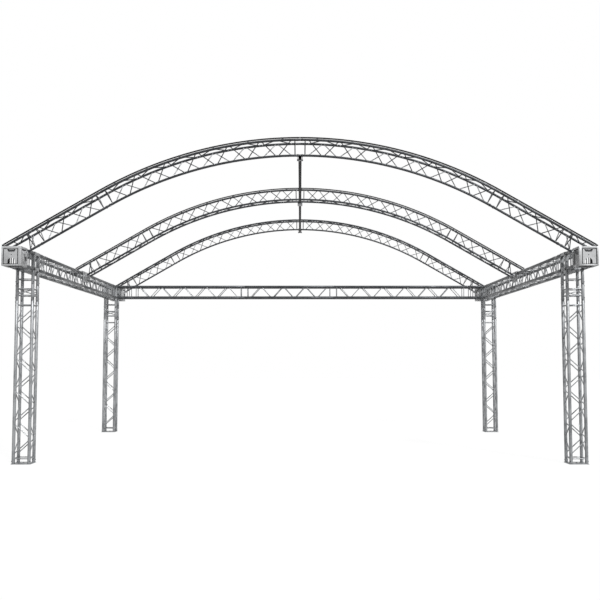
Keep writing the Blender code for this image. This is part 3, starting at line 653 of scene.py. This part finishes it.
def build_base_plate(node, foot):
    """A plate with eased edges, and on it a flanged half coupler under each chord."""
    piece = Piece(node, "plate")
    piece.box(*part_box(node), "plate", 0.0022)
    for a in BOTH:
        for b in BOTH:
            outward = Vector((a, b, 0))
            socket = foot + outward * HALF_PITCH
            piece.lathe(socket - UP * 0.001, UP, PLATE_SOCKET, "coupler", 16)
            add_drive_pin(piece, socket + UP * FOOT_PIN_SETBACK, UP, outward.normalized())
    piece.lathe(foot - UP * 0.001, UP, PLATE_HUB, "pin", 6, (False, True))
    piece.finish("base_plate")


def build_spacer(node, foot):
    """A short piece of truss with two rungs and a shallow diagonal on each face."""
    piece = Piece(node, "tubes")
    lines = square_lines(foot, UP, SPACER_LENGTH)
    low, high, offset = RUNG_INSET, SPACER_LENGTH - RUNG_INSET, LACING_FOOT / 2
    for line in lines:
        add_chord(piece, line, "truss")
    for line, follower in around(lines):
        for distance in (low, high):
            add_bar(piece, line, follower, distance, distance, "truss")
        add_bar(piece, line, follower, low + offset, high - offset, "truss", ARCH_LACING_RADIUS)
    add_couplings(piece, lines, [1], UP)
    piece.finish("truss_tube")


class STAGEROOF_OT_towers(bpy.types.Operator):
    """Build the base plates, the towers and their spacers"""

    bl_idname = "stage_roof.towers"
    bl_label = "Towers"

    def execute(self, context):
        for end, side, x_sign, y_sign in PLACES:
            place = f"{end}_{side}"
            foot = Vector((x_sign * HALF_WIDTH, y_sign * HALF_DEPTH, PLATE_THICKNESS))
            build_base_plate(f"base_plate_{place}", foot)
            square_truss(f"tower_{place}", foot, UP, TOWER_LENGTH, 0, "truss", [1])
            build_spacer(f"tower_spacer_{place}", foot + UP * TOWER_LENGTH)
        return {"FINISHED"}


def build_corner(node, centre, arms):
    """A cube frame of square bar, leg tubes, and arms with their spacers."""
    piece = Piece(node, "frame")
    for axis in range(3):
        half = Vector((FRAME_BAR, FRAME_BAR, FRAME_BAR))
        half[axis] += HALF_PITCH
        for a in BOTH:
            for b in BOTH:
                middle = centre.copy()
                middle[(axis + 1) % 3] += a * HALF_PITCH
                middle[(axis + 2) % 3] += b * HALF_PITCH
                piece.brick(middle, half, "truss", 0.003)
    root = HALF_PITCH + FRAME_BAR - 0.002
    split = ARM_LENGTH - ARM_SPACER
    limbs = [(-UP, LEG_LENGTH, [LEG_LENGTH - RUNG_INSET], [])]
    limbs += [(arm, ARM_LENGTH, [split + RUNG_INSET, ARM_LENGTH - RUNG_INSET],
               [(split - root) / (ARM_LENGTH - root)]) for arm in arms]
    collar = [(0, CHORD_RADIUS + 0.003), (0.003, CHORD_RADIUS + 0.0025), (0.007, CHORD_RADIUS)]
    for direction, length, rungs, joints in limbs:
        lines = square_lines(centre + direction * root, direction, length - root)
        for line in lines:
            # Level arms take the ring metal, the tube darkened as painted shade
            add_chord(piece, line, "truss" if direction.z else "ring", (0, JOINT_GAP))
            piece.lathe(line.at(0) - direction * 0.001, direction, collar, "weld", 16, OPEN)
        for line, follower in around(lines):
            for distance in rungs:
                add_bar(piece, line, follower, distance - root, distance - root, "truss")
        add_couplings(piece, lines, joints, direction)
    piece.finish("truss_tube")


class STAGEROOF_OT_ring(bpy.types.Operator):
    """Build the corner blocks, the side trusses and the rear trusses"""

    bl_idname = "stage_roof.ring"
    bl_label = "Ring"

    def execute(self, context):
        for end, side, x_sign, y_sign in PLACES:
            rear = y_sign > 0
            arms = [ALONG_Y, -ALONG_Y] + ([ALONG_X * -x_sign] if rear else [])
            corner = Vector((x_sign * HALF_WIDTH, y_sign * HALF_DEPTH, RING_Z))
            build_corner(f"corner_{end}_{side}", corner, arms)
            # Side trusses take the ring metal, the tube darkened as painted shade
            square_truss(f"side_truss_{side}_{end}", Vector((corner.x, 0, RING_Z)), ALONG_Y * y_sign,
                         HALF_DEPTH - ARM_LENGTH, 0 if x_sign < 0 else 1, "ring",
                         [0, 1] if rear else [1])
        start = Vector((ARM_LENGTH - HALF_WIDTH, HALF_DEPTH, RING_Z))
        for place, length in REAR_LENGTHS.items():
            # Rear trusses take the ring metal, the tube darkened as painted shade
            square_truss(f"rear_truss_{place}", start, ALONG_X, length, 0 if place == "middle" else 1,
                         "ring", [0, 1] if place == "left" else [1])
            start = start + ALONG_X * length
        return {"FINISHED"}


def lacing_light_and_shade(arch, line, follower):
    """The lacing of an arch's rear face takes the pale tube metal and the rest the darker arch metal: lit
    and shaded copies of one tube, the darker one painted shade.
    """
    middle = (line.stations[0][0].y + follower.stations[0][0].y) / 2
    return "truss" if middle > arch.y + HALF_PITCH / 4 else "arch"


def pin_place(seat_face):
    """Where the pin of an arch foot lies, on the line of the inner chord."""
    inner_x = FOOT_X - TRIANGLE_DEPTH * SINE
    inner_z = BLOCK_TOP - TRIANGLE_DEPTH * COSINE
    x = seat_face - PIN_STANDOFF
    return x, inner_z + (inner_x - x) * SINE / COSINE


def curve_stations(sign, y, depth):
    """Stations from the crown down to the end of the curve."""
    normals = [Vector((sign * sine, 0, cosine)) for cosine, sine in arc(0, ARCH_QUARTERS, 24)]
    return [(Vector((0, y, ARCH_CENTRE_Z)) + normal * (ARCH_RADIUS - depth), ALONG_Y, normal)
            for normal in normals]


def slope_start(sign, y, depth, distance):
    """A point on the straight flank, with its downhill direction and its normal."""
    normal = Vector((sign * SINE, 0, COSINE))
    downhill = Vector((sign * COSINE, 0, -SINE))
    start = Vector((0, y, ARCH_CENTRE_Z)) + normal * (ARCH_RADIUS - depth)
    return start + downhill * distance, downhill, normal


def laced_arch(node, arch, lines, bays, sign):
    """Chords, lacing and the couplings at the lower end."""
    piece = Piece(node, "tubes")
    for line in lines:
        # Arch chords take the arch metal, the tube darkened as painted shade
        add_chord(piece, line, "arch")
    for line, follower in around(lines):
        add_zigzag(piece, line, follower, bays, ARCH_END_BAY, arch.phase,
                   lacing_light_and_shade(arch, line, follower), ARCH_LACING_RADIUS)
    add_couplings(piece, lines, [1], Vector((sign * COSINE, 0, -SINE)))
    return piece


def build_curve(node, arch, sign):
    """A curved half. The left one also carries the couplings at the crown."""
    lines = [Line(curve_stations(sign, arch.y + offset, depth), ARCH_TUBE_RADIUS)
             for offset, depth in arch.chords]
    piece = laced_arch(node, arch, lines, ARCH_BAYS, sign)
    if sign < 0:
        add_couplings(piece, lines, [0], ALONG_X)
    piece.finish("arch_tube")


def build_straight(node, arch, sign):
    starts = [slope_start(sign, arch.y + offset, depth, 0) for offset, depth in arch.chords]
    lines = [straight_line(start, downhill, STRAIGHT_LENGTH, ALONG_Y, ARCH_TUBE_RADIUS)
             for start, downhill, normal in starts]
    laced_arch(node, arch, lines, STRAIGHT_BAYS, sign).finish("arch_tube")


def add_cut_chord(piece, line, downhill, normal, sign):
    """An outer chord with an eased rim above and a level cut below."""
    first = line.at(0) + downhill * JOINT_GAP
    full = (first + downhill * RIM, ALONG_Y, -normal, ARCH_TUBE_RADIUS)
    cut = (line.at(line.length), ALONG_Y, ALONG_X * (-sign / SINE), ARCH_TUBE_RADIUS)
    piece.sweep([(first, ALONG_Y, -normal, ARCH_TUBE_RADIUS - 0.0012), full], "arch", 20, (True, False))
    piece.sweep([full, cut], "arch", 20, (False, True))


def add_lug(piece, eye, downhill, normal):
    """A flat tongue with a rounded nose round the pin, let into the end of the chord."""
    centre = eye - ALONG_Y * LUG_THICKNESS / 2
    root = centre - downhill * LUG_ROOT
    outline = [root + normal * LUG_NOSE, root - normal * LUG_NOSE]
    outline += [centre + (downhill * cosine + normal * sine) * LUG_NOSE
                for cosine, sine in arc(-1, 1, 8)]
    piece.prism(outline, ALONG_Y * LUG_THICKNESS, "arch", 0.0015)


def build_foot(node, arch, sign):
    """Outer chords cut level on their seat, inner chords with a lug, struts and ties."""
    piece = Piece(node, "tubes")
    pin_x, pin_z = pin_place(arch.seat_face)
    outer, inner = [], []
    for offset, depth in arch.chords:
        start, downhill, normal = slope_start(sign, arch.y + offset, depth, STRAIGHT_LENGTH)
        if depth:
            length = (pin_x - LUG_REACH * COSINE - abs(start.x)) / COSINE
        else:
            length = (start.z - arch.seat_top - 0.0006) / SINE
        line = straight_line(start, downhill, length, ALONG_Y, ARCH_TUBE_RADIUS)
        if depth:
            inner.append(line)
            add_chord(piece, line, "arch", (JOINT_GAP, 0))
            add_lug(piece, Vector((sign * pin_x, start.y, pin_z)), downhill, normal)
        else:
            outer.append(line)
            add_cut_chord(piece, line, downhill, normal, sign)
    reach = inner[0].length
    rung = FOOT_RUNG_SHARE * reach
    bars = []
    for high in outer:
        for low in inner:
            metal = lacing_light_and_shade(arch, high, low)
            bars += [(high, low, rung, rung, metal),
                     (high, low, STRUT_HEAD_SHARE * reach, STRUT_FOOT_SHARE * reach, metal)]
    bars += [(*twins, rung, rung, "arch") for twins in (outer, inner) if len(twins) == 2]
    if len(outer) == 2:
        tie = outer[0].length - FOOT_TIE_INSET
        bars += [(*outer, tie, tie, "arch"), (*outer, rung + LACING_FOOT, tie - LACING_FOOT, "arch")]
    for bar in bars:
        add_bar(piece, *bar, ARCH_LACING_RADIUS)
    piece.finish("arch_tube")


class STAGEROOF_OT_arches(bpy.types.Operator):
    """Build the curved, straight and foot pieces of the three arches"""

    bl_idname = "stage_roof.arches"
    bl_label = "Arches"

    def execute(self, context):
        for place, arch in ARCHES.items():
            for side, sign in SIDES.items():
                build_curve(f"arch_{place}_curve_{side}", arch, sign)
                build_straight(f"arch_{place}_straight_{side}", arch, sign)
                build_foot(f"arch_{place}_foot_{side}", arch, sign)
        return {"FINISHED"}


def add_rail_clips(piece, line):
    """Short stand-offs that hold the rail clear of its chord."""
    count = max(round(line.length / CLIP_SPACING), 1)
    for k in range(count):
        middle = (k + 0.5) / count * line.length
        start = line.at(middle - CLIP_LENGTH / 2)
        along = line.at(middle + CLIP_LENGTH / 2) - start
        down = along.cross(ALONG_Y).normalized()
        down *= -1 if down.z > 0 else 1
        low, high = down * (RAIL_HEIGHT / 2 + 0.0026), -down * 0.0006
        outline = [start + ALONG_Y * a + b
                   for a, b in ((-0.007, low), (0.007, low), (0.004, high), (-0.004, high))]
        piece.prism(outline, along, "truss")


def build_rail(node, arch):
    """Sweep the section over the arch, with a narrow joint above every arch joint."""
    piece = Piece(node, "extrusion")
    on_blocks = arch.seat_top == BLOCK_TOP
    y = arch.y + arch.rail_chord * HALF_PITCH
    lift = ARCH_TUBE_RADIUS + RAIL_STANDOFF + RAIL_HEIGHT / 2
    reach = RAIL_FOOT_X if on_blocks else FOOT_X - RAIL_END_INSET * COSINE
    flank = (reach - (ARCH_RADIUS + lift) * SINE) / COSINE
    section = RAIL_SECTION + [(-a, b) for a, b in reversed(RAIL_SECTION) if a > 0]
    for sign in BOTH:
        slopes = [slope_start(sign, y, -lift, distance) for distance in (0, STRAIGHT_LENGTH, flank)]
        joint, split, end = [(point, ALONG_Y, normal) for point, downhill, normal in slopes]
        for run in (curve_stations(sign, y, -lift), [joint, split], [split, end]):
            stations = Line(run).trimmed(RAIL_GAP, RAIL_GAP)
            rings = [[centre + side * a + up * b for a, b in section] for centre, side, up in stations]
            piece.skin(rings, [station[0] for station in stations], [0.004] * (len(rings) - 1), "rail",
                       False)
            add_rail_clips(piece, Line(run))
        if on_blocks:
            foot = Vector((sign * (HALF_WIDTH + BLOCK_HALF - OUTER_POST / 2), y,
                           BLOCK_TOP + (RAIL_FOOT_HEIGHT + 0.0003) / 2))
            half = (OUTER_POST / 2, RAIL_FOOT_REACH, (RAIL_FOOT_HEIGHT - 0.0003) / 2)
            piece.brick(foot, half, "rail", 0.0015)
    piece.finish("rail_extrusion")


class STAGEROOF_OT_rails(bpy.types.Operator):
    """Build the slotted keder rail on each arch"""

    bl_idname = "stage_roof.rails"
    bl_label = "Keder rails"

    def execute(self, context):
        for place, arch in ARCHES.items():
            build_rail(f"keder_rail_{place}", arch)
        return {"FINISHED"}


def build_ridge_tube(node):
    """A hollow round tube, open at both ends."""
    piece = Piece(node, "round")
    half = BLOCK_Y + RIDGE_OVERHANG
    length = 2 * half
    bore = RIDGE_RADIUS - RIDGE_WALL
    piece.lathe(Vector((0, -half, RIDGE_Z)), ALONG_Y, [
        (0.06, bore), (0, bore), (0, RIDGE_RADIUS - 0.001), (0.001, RIDGE_RADIUS),
        (length - 0.001, RIDGE_RADIUS), (length, RIDGE_RADIUS - 0.001), (length, bore),
        (length - 0.06, bore)], "ridge", 32)
    piece.finish("ridge_tube")


def add_bow(piece, crown, plate_top):
    """A rod bent over a chord, with a nut on each leg."""
    drop = UP * (crown.z - plate_top + 0.012)
    outs = [ALONG_Y * cosine + UP * sine for cosine, sine in arc(2, 0, 9)]
    path = [(crown + out * BOW_RADIUS, out) for out in outs]
    path = [(path[0][0] - drop, -ALONG_Y)] + path + [(path[-1][0] - drop, ALONG_Y)]
    piece.sweep([(point, ALONG_X, out, BOW_WIRE) for point, out in path], "pin", 8)
    for b in BOTH:
        nut = Vector((crown.x, crown.y + b * BOW_RADIUS, plate_top - 0.0002))
        piece.lathe(nut, UP, CLAMP_NUT, "pin", 6)


def build_ridge_clamp(node, arch):
    """Threaded bows over the inner chords, nuts, and a saddle plate under the tube."""
    low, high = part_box(node)
    piece = Piece(node, "bows")
    plate_top = RIDGE_Z - RIDGE_RADIUS - 0.0003
    reach = CLAMP_SPREAD + 0.01
    piece.box((-reach, low.y, plate_top - 0.008), (reach, high.y, plate_top), "pin", 0.0018)
    for side in BOTH:
        for offset, depth in arch.chords:
            if depth:
                crown = Vector((side * CLAMP_SPREAD, arch.y + offset, INNER_APEX_Z - 0.0012))
                add_bow(piece, crown, plate_top)
        for b in BOTH:
            cheek = Vector((side * (RIDGE_RADIUS + 0.034) / 2, arch.y + b * 0.004, plate_top + 0.0055))
            piece.brick(cheek, ((0.034 - RIDGE_RADIUS) / 2, 0.003, 0.0065), "clamp", 0.001)
    piece.finish("hardware")


class STAGEROOF_OT_ridge(bpy.types.Operator):
    """Build the ridge tube and its clamps"""

    bl_idname = "stage_roof.ridge"
    bl_label = "Ridge tube and clamps"

    def execute(self, context):
        build_ridge_tube("ridge_tube")
        for place, arch in ARCHES.items():
            build_ridge_clamp(f"ridge_clamp_{place}", arch)
        return {"FINISHED"}


def add_ears(piece, sign, seat_face, lug_ys):
    """A pair of plates with rounded noses at each lug."""
    x, z = pin_place(seat_face)
    root = seat_face + 0.004
    outline = [(root, z - 0.032), (x - 0.004, z - 0.032), (x - EAR_NOSE, z - 0.018)]
    outline += [(x + EAR_NOSE * cosine, z + EAR_NOSE * sine) for cosine, sine in arc(2, 1, 6)]
    outline.append((root, z + EAR_NOSE))
    for lug_y in lug_ys:
        for side in BOTH:
            y = lug_y + side * (LUG_THICKNESS / 2 + 0.0008)
            piece.prism([Vector((sign * a, y, b)) for a, b in outline], ALONG_Y * side * EAR_THICKNESS,
                        "block", 0.001)


def add_side_panel(piece, centre, side, field):
    """A panel set back between the posts, with a dark sheet behind its gap as painted shadow, and a pressed
    rib.
    """
    depth = BLOCK_HALF - SIDE_PANEL_SETBACK
    for inset, back, material in ((0, 0.004, "dirt_and_painted_shade"), (SHADOW_GAP, 0, "block")):
        middle = centre + Vector((side * (depth - back - 0.003), 0, -inset / 2))
        piece.brick(middle, (0.003, field - inset, field - inset / 2), material, 0.001)
    piece.brick(centre + ALONG_X * side * depth, (0.005, 0.012, field * 0.8), "block", 0.003)


def add_end_panel(piece, centre, sign, end):
    """The recessed end panel: strips round a trapezoid window and an arched door, with dark sheets in its
    gaps and behind the window as painted shade.
    """
    field = BLOCK_HALF - BLOCK_FRAME
    shift = sign * PANEL_SHIFT
    face_y = centre.y + end * (BLOCK_HALF - PANEL_SETBACK)
    top, bottom = centre.z + field, centre.z - BLOCK_HALF + OUTER_POST
    head, sill = top - 0.006, top - 0.05
    door_top = centre.z - field + 0.085

    def shadow(x, half_width, low, high):
        """The gap beside the panel, backed by a dark sheet: a painted shadow."""
        piece.brick((centre.x + x, face_y - end * 0.008, (low + high) / 2),
                    (half_width, 0.002, (high - low) / 2), "dirt_and_painted_shade")

    def slab(outline):
        piece.prism([Vector((centre.x + x, face_y, z)) for x, z in outline], ALONG_Y * -end * 0.008,
                    "block")

    for low in (bottom, top - PANEL_GAP):
        shadow(shift, field, low, low + PANEL_GAP)
    top -= PANEL_GAP
    bottom += PANEL_GAP
    left, right = shift - field + SHADOW_GAP, shift + field - SHADOW_GAP
    for low, high in ((head, top), (door_top, sill)):
        slab([(left, low), (right, low), (right, high), (left, high)])
    for side, edge in ((-1, left), (1, right)):
        shadow(shift + side * (field - SHADOW_GAP / 2), SHADOW_GAP / 2, bottom, top)
        slab([(edge, sill), (side * 0.045, sill), (side * 0.07, head), (edge, head)])
        jamb = side * DOOR_RADIUS
        slab([(edge, bottom), (jamb, bottom), (jamb, door_top), (edge, door_top)])
        slab([(jamb, door_top)] + [(jamb * cosine, door_top - DOOR_RADIUS * (1 - sine))
                                   for cosine, sine in arc(1, 0, 8)])
    bead = [Vector((centre.x + x, face_y, z))
            for x, z in ((-0.07, head), (0.07, head), (0.045, sill), (-0.045, sill))]
    for start, stop in around(bead):
        piece.lathe(start, stop - start, [(0, 0.0022), ((stop - start).length, 0.0022)], "block", 6, OPEN)
    behind = face_y - end * 0.012
    # A dark sheet behind the window: painted shade inside the block
    piece.brick((centre.x, behind - end * 0.002, (head + sill) / 2),
                (0.075, 0.002, (head - sill) / 2 + 0.004), "dirt_and_painted_shade")
    piece.lathe(Vector((centre.x - 0.04, behind, head - 0.012)), ALONG_X, [(0, 0.005), (0.08, 0.005)],
                "block", 10)


def add_rivets(piece, centre, end):
    """Domed rivets down the posts and one screw in the panel."""
    out = ALONG_Y * end
    for a in BOTH:
        for z in (-0.11, -0.055, 0.0, 0.055, 0.11):
            spot = Vector((a * (BLOCK_HALF - OUTER_POST / 2), end * (BLOCK_HALF - 0.0016), z))
            piece.lathe(centre + spot, out, RIVET, "coupler", 8, (False, True))
    spot = Vector((0, end * (BLOCK_HALF - PANEL_SETBACK - 0.0005), 0.02))
    piece.lathe(centre + spot, out, PANEL_SCREW, "dirt_and_painted_shade", 12, (False, True))


def build_block(node, sign, end):
    """Four posts and rails round recessed panels, a window and a door in the end face."""
    piece = Piece(node, "panels")
    centre = Vector((sign * HALF_WIDTH, end * BLOCK_Y, RING_Z))
    half_frame = BLOCK_FRAME / 2
    top, bottom = centre.z + BLOCK_HALF, centre.z - BLOCK_HALF
    field = BLOCK_HALF - BLOCK_FRAME
    inner = field + 0.001
    for b in BOTH:
        y = centre.y + b * (BLOCK_HALF - 0.0002 - half_frame)
        shift = sign * PANEL_SHIFT if b == end else 0
        for a in BOTH:
            half_width = half_frame - a * shift / 2
            piece.brick((centre.x + a * (BLOCK_HALF - half_width), y, centre.z),
                        (half_width, half_frame, BLOCK_HALF), "block", EDGE)
        for low, high in ((bottom, bottom + BLOCK_FRAME), (top - BLOCK_FRAME, top)):
            lip = bottom + OUTER_POST if b == end and low == bottom else high
            piece.box((centre.x + shift - inner, y - half_frame, low),
                      (centre.x + shift + inner, y + half_frame, lip), "block", EDGE)
            piece.brick((centre.x + b * (BLOCK_HALF - half_frame), centre.y, (low + high) / 2),
                        (half_frame, inner, half_frame), "block", EDGE)
    add_end_panel(piece, centre, sign, end)
    for b in BOTH:
        add_side_panel(piece, centre, b, field)
    piece.brick((centre.x, centre.y, top - 0.0065), (field, field, 0.0035), "block")
    add_rivets(piece, centre, end)
    add_ears(piece, sign, BLOCK_FACE, [centre.y])
    piece.finish("block_sheet")


def build_seat(node, sign):
    """A folded plate over the side truss, bolted down on its chords."""
    piece = Piece(node, "plate")
    outer = HALF_WIDTH + HALF_PITCH + CHORD_RADIUS
    truss_face = SEAT_FACE + SEAT_THICKNESS - 0.0002
    under = SEAT_TOP - SEAT_THICKNESS + 0.0002
    outline = [(outer, under), (outer, SEAT_TOP)]
    outline += [(SEAT_FACE + SEAT_BEND * (1 - sine), SEAT_TOP - SEAT_BEND * (1 - cosine))
                for cosine, sine in arc(0, 1, 6)]
    outline += [(SEAT_FACE, SEAT_TOP - SEAT_SKIRT), (truss_face, SEAT_TOP - SEAT_SKIRT),
                (truss_face, under)]
    ring = [Vector((sign * x, -SEAT_LENGTH / 2, z)) for x, z in outline]
    piece.prism(ring, ALONG_Y * SEAT_LENGTH, "block", 0.0012)
    for y in (-0.145, -0.048, 0.048, 0.145):
        for x in (-HALF_PITCH, HALF_PITCH):
            spot = Vector((sign * HALF_WIDTH + x, y, SEAT_TOP - 0.0002))
            under_foot = abs(abs(spot.x) - FOOT_X) < 0.05 and abs(y) < 0.1
            if not under_foot:
                piece.lathe(spot, UP, SEAT_BOLT, "pin", 6)
    for y in (-0.145, 0.145):
        for z in (-0.055, -0.15):
            spot = Vector((sign * (SEAT_FACE + 0.0002), y, SEAT_TOP + z))
            piece.lathe(spot, ALONG_X * -sign, SKIRT_BOLT, "pin", 6)
    add_ears(piece, sign, SEAT_FACE, [-HALF_PITCH, HALF_PITCH])
    piece.finish("block_sheet")


def build_foot_pin(node, sign, arch):
    """A turned pin with a shouldered head and a spring clip through its tail."""
    piece = Piece(node, "turned")
    low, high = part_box(node)
    x, z = pin_place(arch.seat_face)
    length = high.y - low.y
    piece.lathe(Vector((sign * x, low.y, z)), ALONG_Y, [
        (0, 0.007), (0.0012, 0.0082), (0.005, 0.0082), (0.0052, PIN_RADIUS),
        (length - 0.002, PIN_RADIUS), (length, PIN_RADIUS - 0.002)], "pin", 16)
    add_wire_ring(piece, Vector((sign * x, high.y - 0.005, z)), ALONG_X, ALONG_Y, 0.0098, "coupler", 10,
                  5)
    piece.finish("hardware")


class STAGEROOF_OT_feet(bpy.types.Operator):
    """Build the end blocks, the middle seats and the foot pins"""

    bl_idname = "stage_roof.feet"
    bl_label = "Blocks, seats and pins"

    def execute(self, context):
        for end, side, x_sign, y_sign in PLACES:
            build_block(f"end_block_{end}_{side}", x_sign, y_sign)
        for side, x_sign in SIDES.items():
            build_seat(f"middle_seat_{side}", x_sign)
        for place, arch in ARCHES.items():
            for side, x_sign in SIDES.items():
                build_foot_pin(f"foot_pin_{place}_{side}", x_sign, arch)
        return {"FINISHED"}


def make_floor(colour):
    """A wide disc that is white to the camera but keeps the roof's shadow."""
    bm = bmesh.new()
    bmesh.ops.create_circle(bm, cap_ends=True, segments=96, radius=FLOOR_RADIUS)
    mesh = bpy.data.meshes.new("floor")
    bm.to_mesh(mesh)
    bm.free()
    material, tree = new_material("studio_floor")
    grain = add_node(tree, "ShaderNodeTexNoise", {"Scale": 3.0, "Detail": 2.0})
    shade = [channel * 0.92 for channel in colour[:3]] + [1.0]
    paint = two_tone(tree, grain["Fac"], shade, colour, 0.35, 0.65)
    lift = add_node(tree, "ShaderNodeMath", {0: seen_white(tree), 1: FLOOR_LIFT}, operation="MULTIPLY")
    set_sockets(tree.nodes["Principled BSDF"], {
        "Base Color": paint, "Roughness": 0.9, "Specular IOR Level": 0.1, "Emission Color": WHITE,
        "Emission Strength": lift["Value"]})
    mesh.materials.append(material)
    floor = add_object("floor", mesh)
    floor.location.z = -FLOOR_DROP


def make_world(strength):
    """Even light, with a white background for the camera, for gloss and for glass."""
    world = bpy.data.worlds.new("studio")
    bpy.context.scene.world = world
    world.use_nodes = True
    tree = world.node_tree
    tree.nodes.clear()
    light, backdrop = [add_node(tree, "ShaderNodeBackground", {"Color": WHITE, "Strength": power})
                       for power in (strength, 1.0)]
    mix = add_node(tree, "ShaderNodeMixShader", {
        0: seen_white(tree), 1: light["Background"], 2: backdrop["Background"]})
    add_node(tree, "ShaderNodeOutputWorld", {"Surface": mix["Shader"]})


def make_key_light(strength):
    """A soft sun above the front right."""
    light = bpy.data.lights.new("key", "SUN")
    light.energy = strength
    light.angle = math.radians(KEY_SPREAD)
    add_object("key", light).rotation_euler = [math.radians(angle) for angle in KEY_TURN]


def make_camera(stage):
    data = bpy.data.cameras.new("camera")
    data.sensor_width = SENSOR_WIDTH
    data.lens = SENSOR_WIDTH * stage.focal_pixels / PHOTO_WIDTH
    data.clip_end = VIEW_DEPTH
    camera = add_object("camera", data)
    camera.location = (0, -stage.distance, stage.height)
    camera.rotation_euler = (math.radians(90) + stage.pitch, 0, 0)
    bpy.context.scene.camera = camera


class STAGEROOF_OT_stage(bpy.types.Operator):
    """Make the floor, the light and the camera"""

    bl_idname = "stage_roof.stage"
    bl_label = "Floor, light and camera"

    def execute(self, context):
        stage = context.scene.roof_stage
        make_floor(linear(stage.floor_colour))
        make_world(stage.fill_strength)
        make_key_light(stage.key_strength)
        make_camera(stage)
        context.scene.view_settings.view_transform = "Standard"
        return {"FINISHED"}


class STAGEROOF_PT_panel(bpy.types.Panel):
    """Sidebar panel that lists the roof's settings and operators"""

    bl_idname = "STAGEROOF_PT_panel"
    bl_label = "Stage roof"
    bl_space_type = "VIEW_3D"
    bl_region_type = "UI"
    bl_category = "Stage roof"

    def draw(self, context):
        layout = self.layout
        for group, operators in SECTIONS:
            settings = getattr(context.scene, group)
            column = layout.column()
            for name in settings.__annotations__:
                column.prop(settings, name)
            for operator in operators:
                column.operator(operator.bl_idname)


BUILDERS = (STAGEROOF_OT_materials, STAGEROOF_OT_towers, STAGEROOF_OT_ring, STAGEROOF_OT_arches,
            STAGEROOF_OT_rails, STAGEROOF_OT_ridge, STAGEROOF_OT_feet)
SECTIONS = (("roof_looks", BUILDERS), ("roof_stage", (STAGEROOF_OT_stage,)))
CLASSES = (RoofLooks, RoofStage) + BUILDERS + (STAGEROOF_OT_stage, STAGEROOF_PT_panel)


def register():
    for cls in CLASSES:
        bpy.utils.register_class(cls)
    bpy.types.Scene.roof_looks = bpy.props.PointerProperty(type=RoofLooks)
    bpy.types.Scene.roof_stage = bpy.props.PointerProperty(type=RoofStage)


def unregister():
    del bpy.types.Scene.roof_stage
    del bpy.types.Scene.roof_looks
    for cls in reversed(CLASSES):
        bpy.utils.unregister_class(cls)


def main():
    register()
    bpy.ops.stage_roof.materials()
    bpy.ops.stage_roof.towers()
    bpy.ops.stage_roof.ring()
    bpy.ops.stage_roof.arches()
    bpy.ops.stage_roof.rails()
    bpy.ops.stage_roof.ridge()
    bpy.ops.stage_roof.feet()
    bpy.ops.stage_roof.stage()


if __name__ == "__main__":
    main()
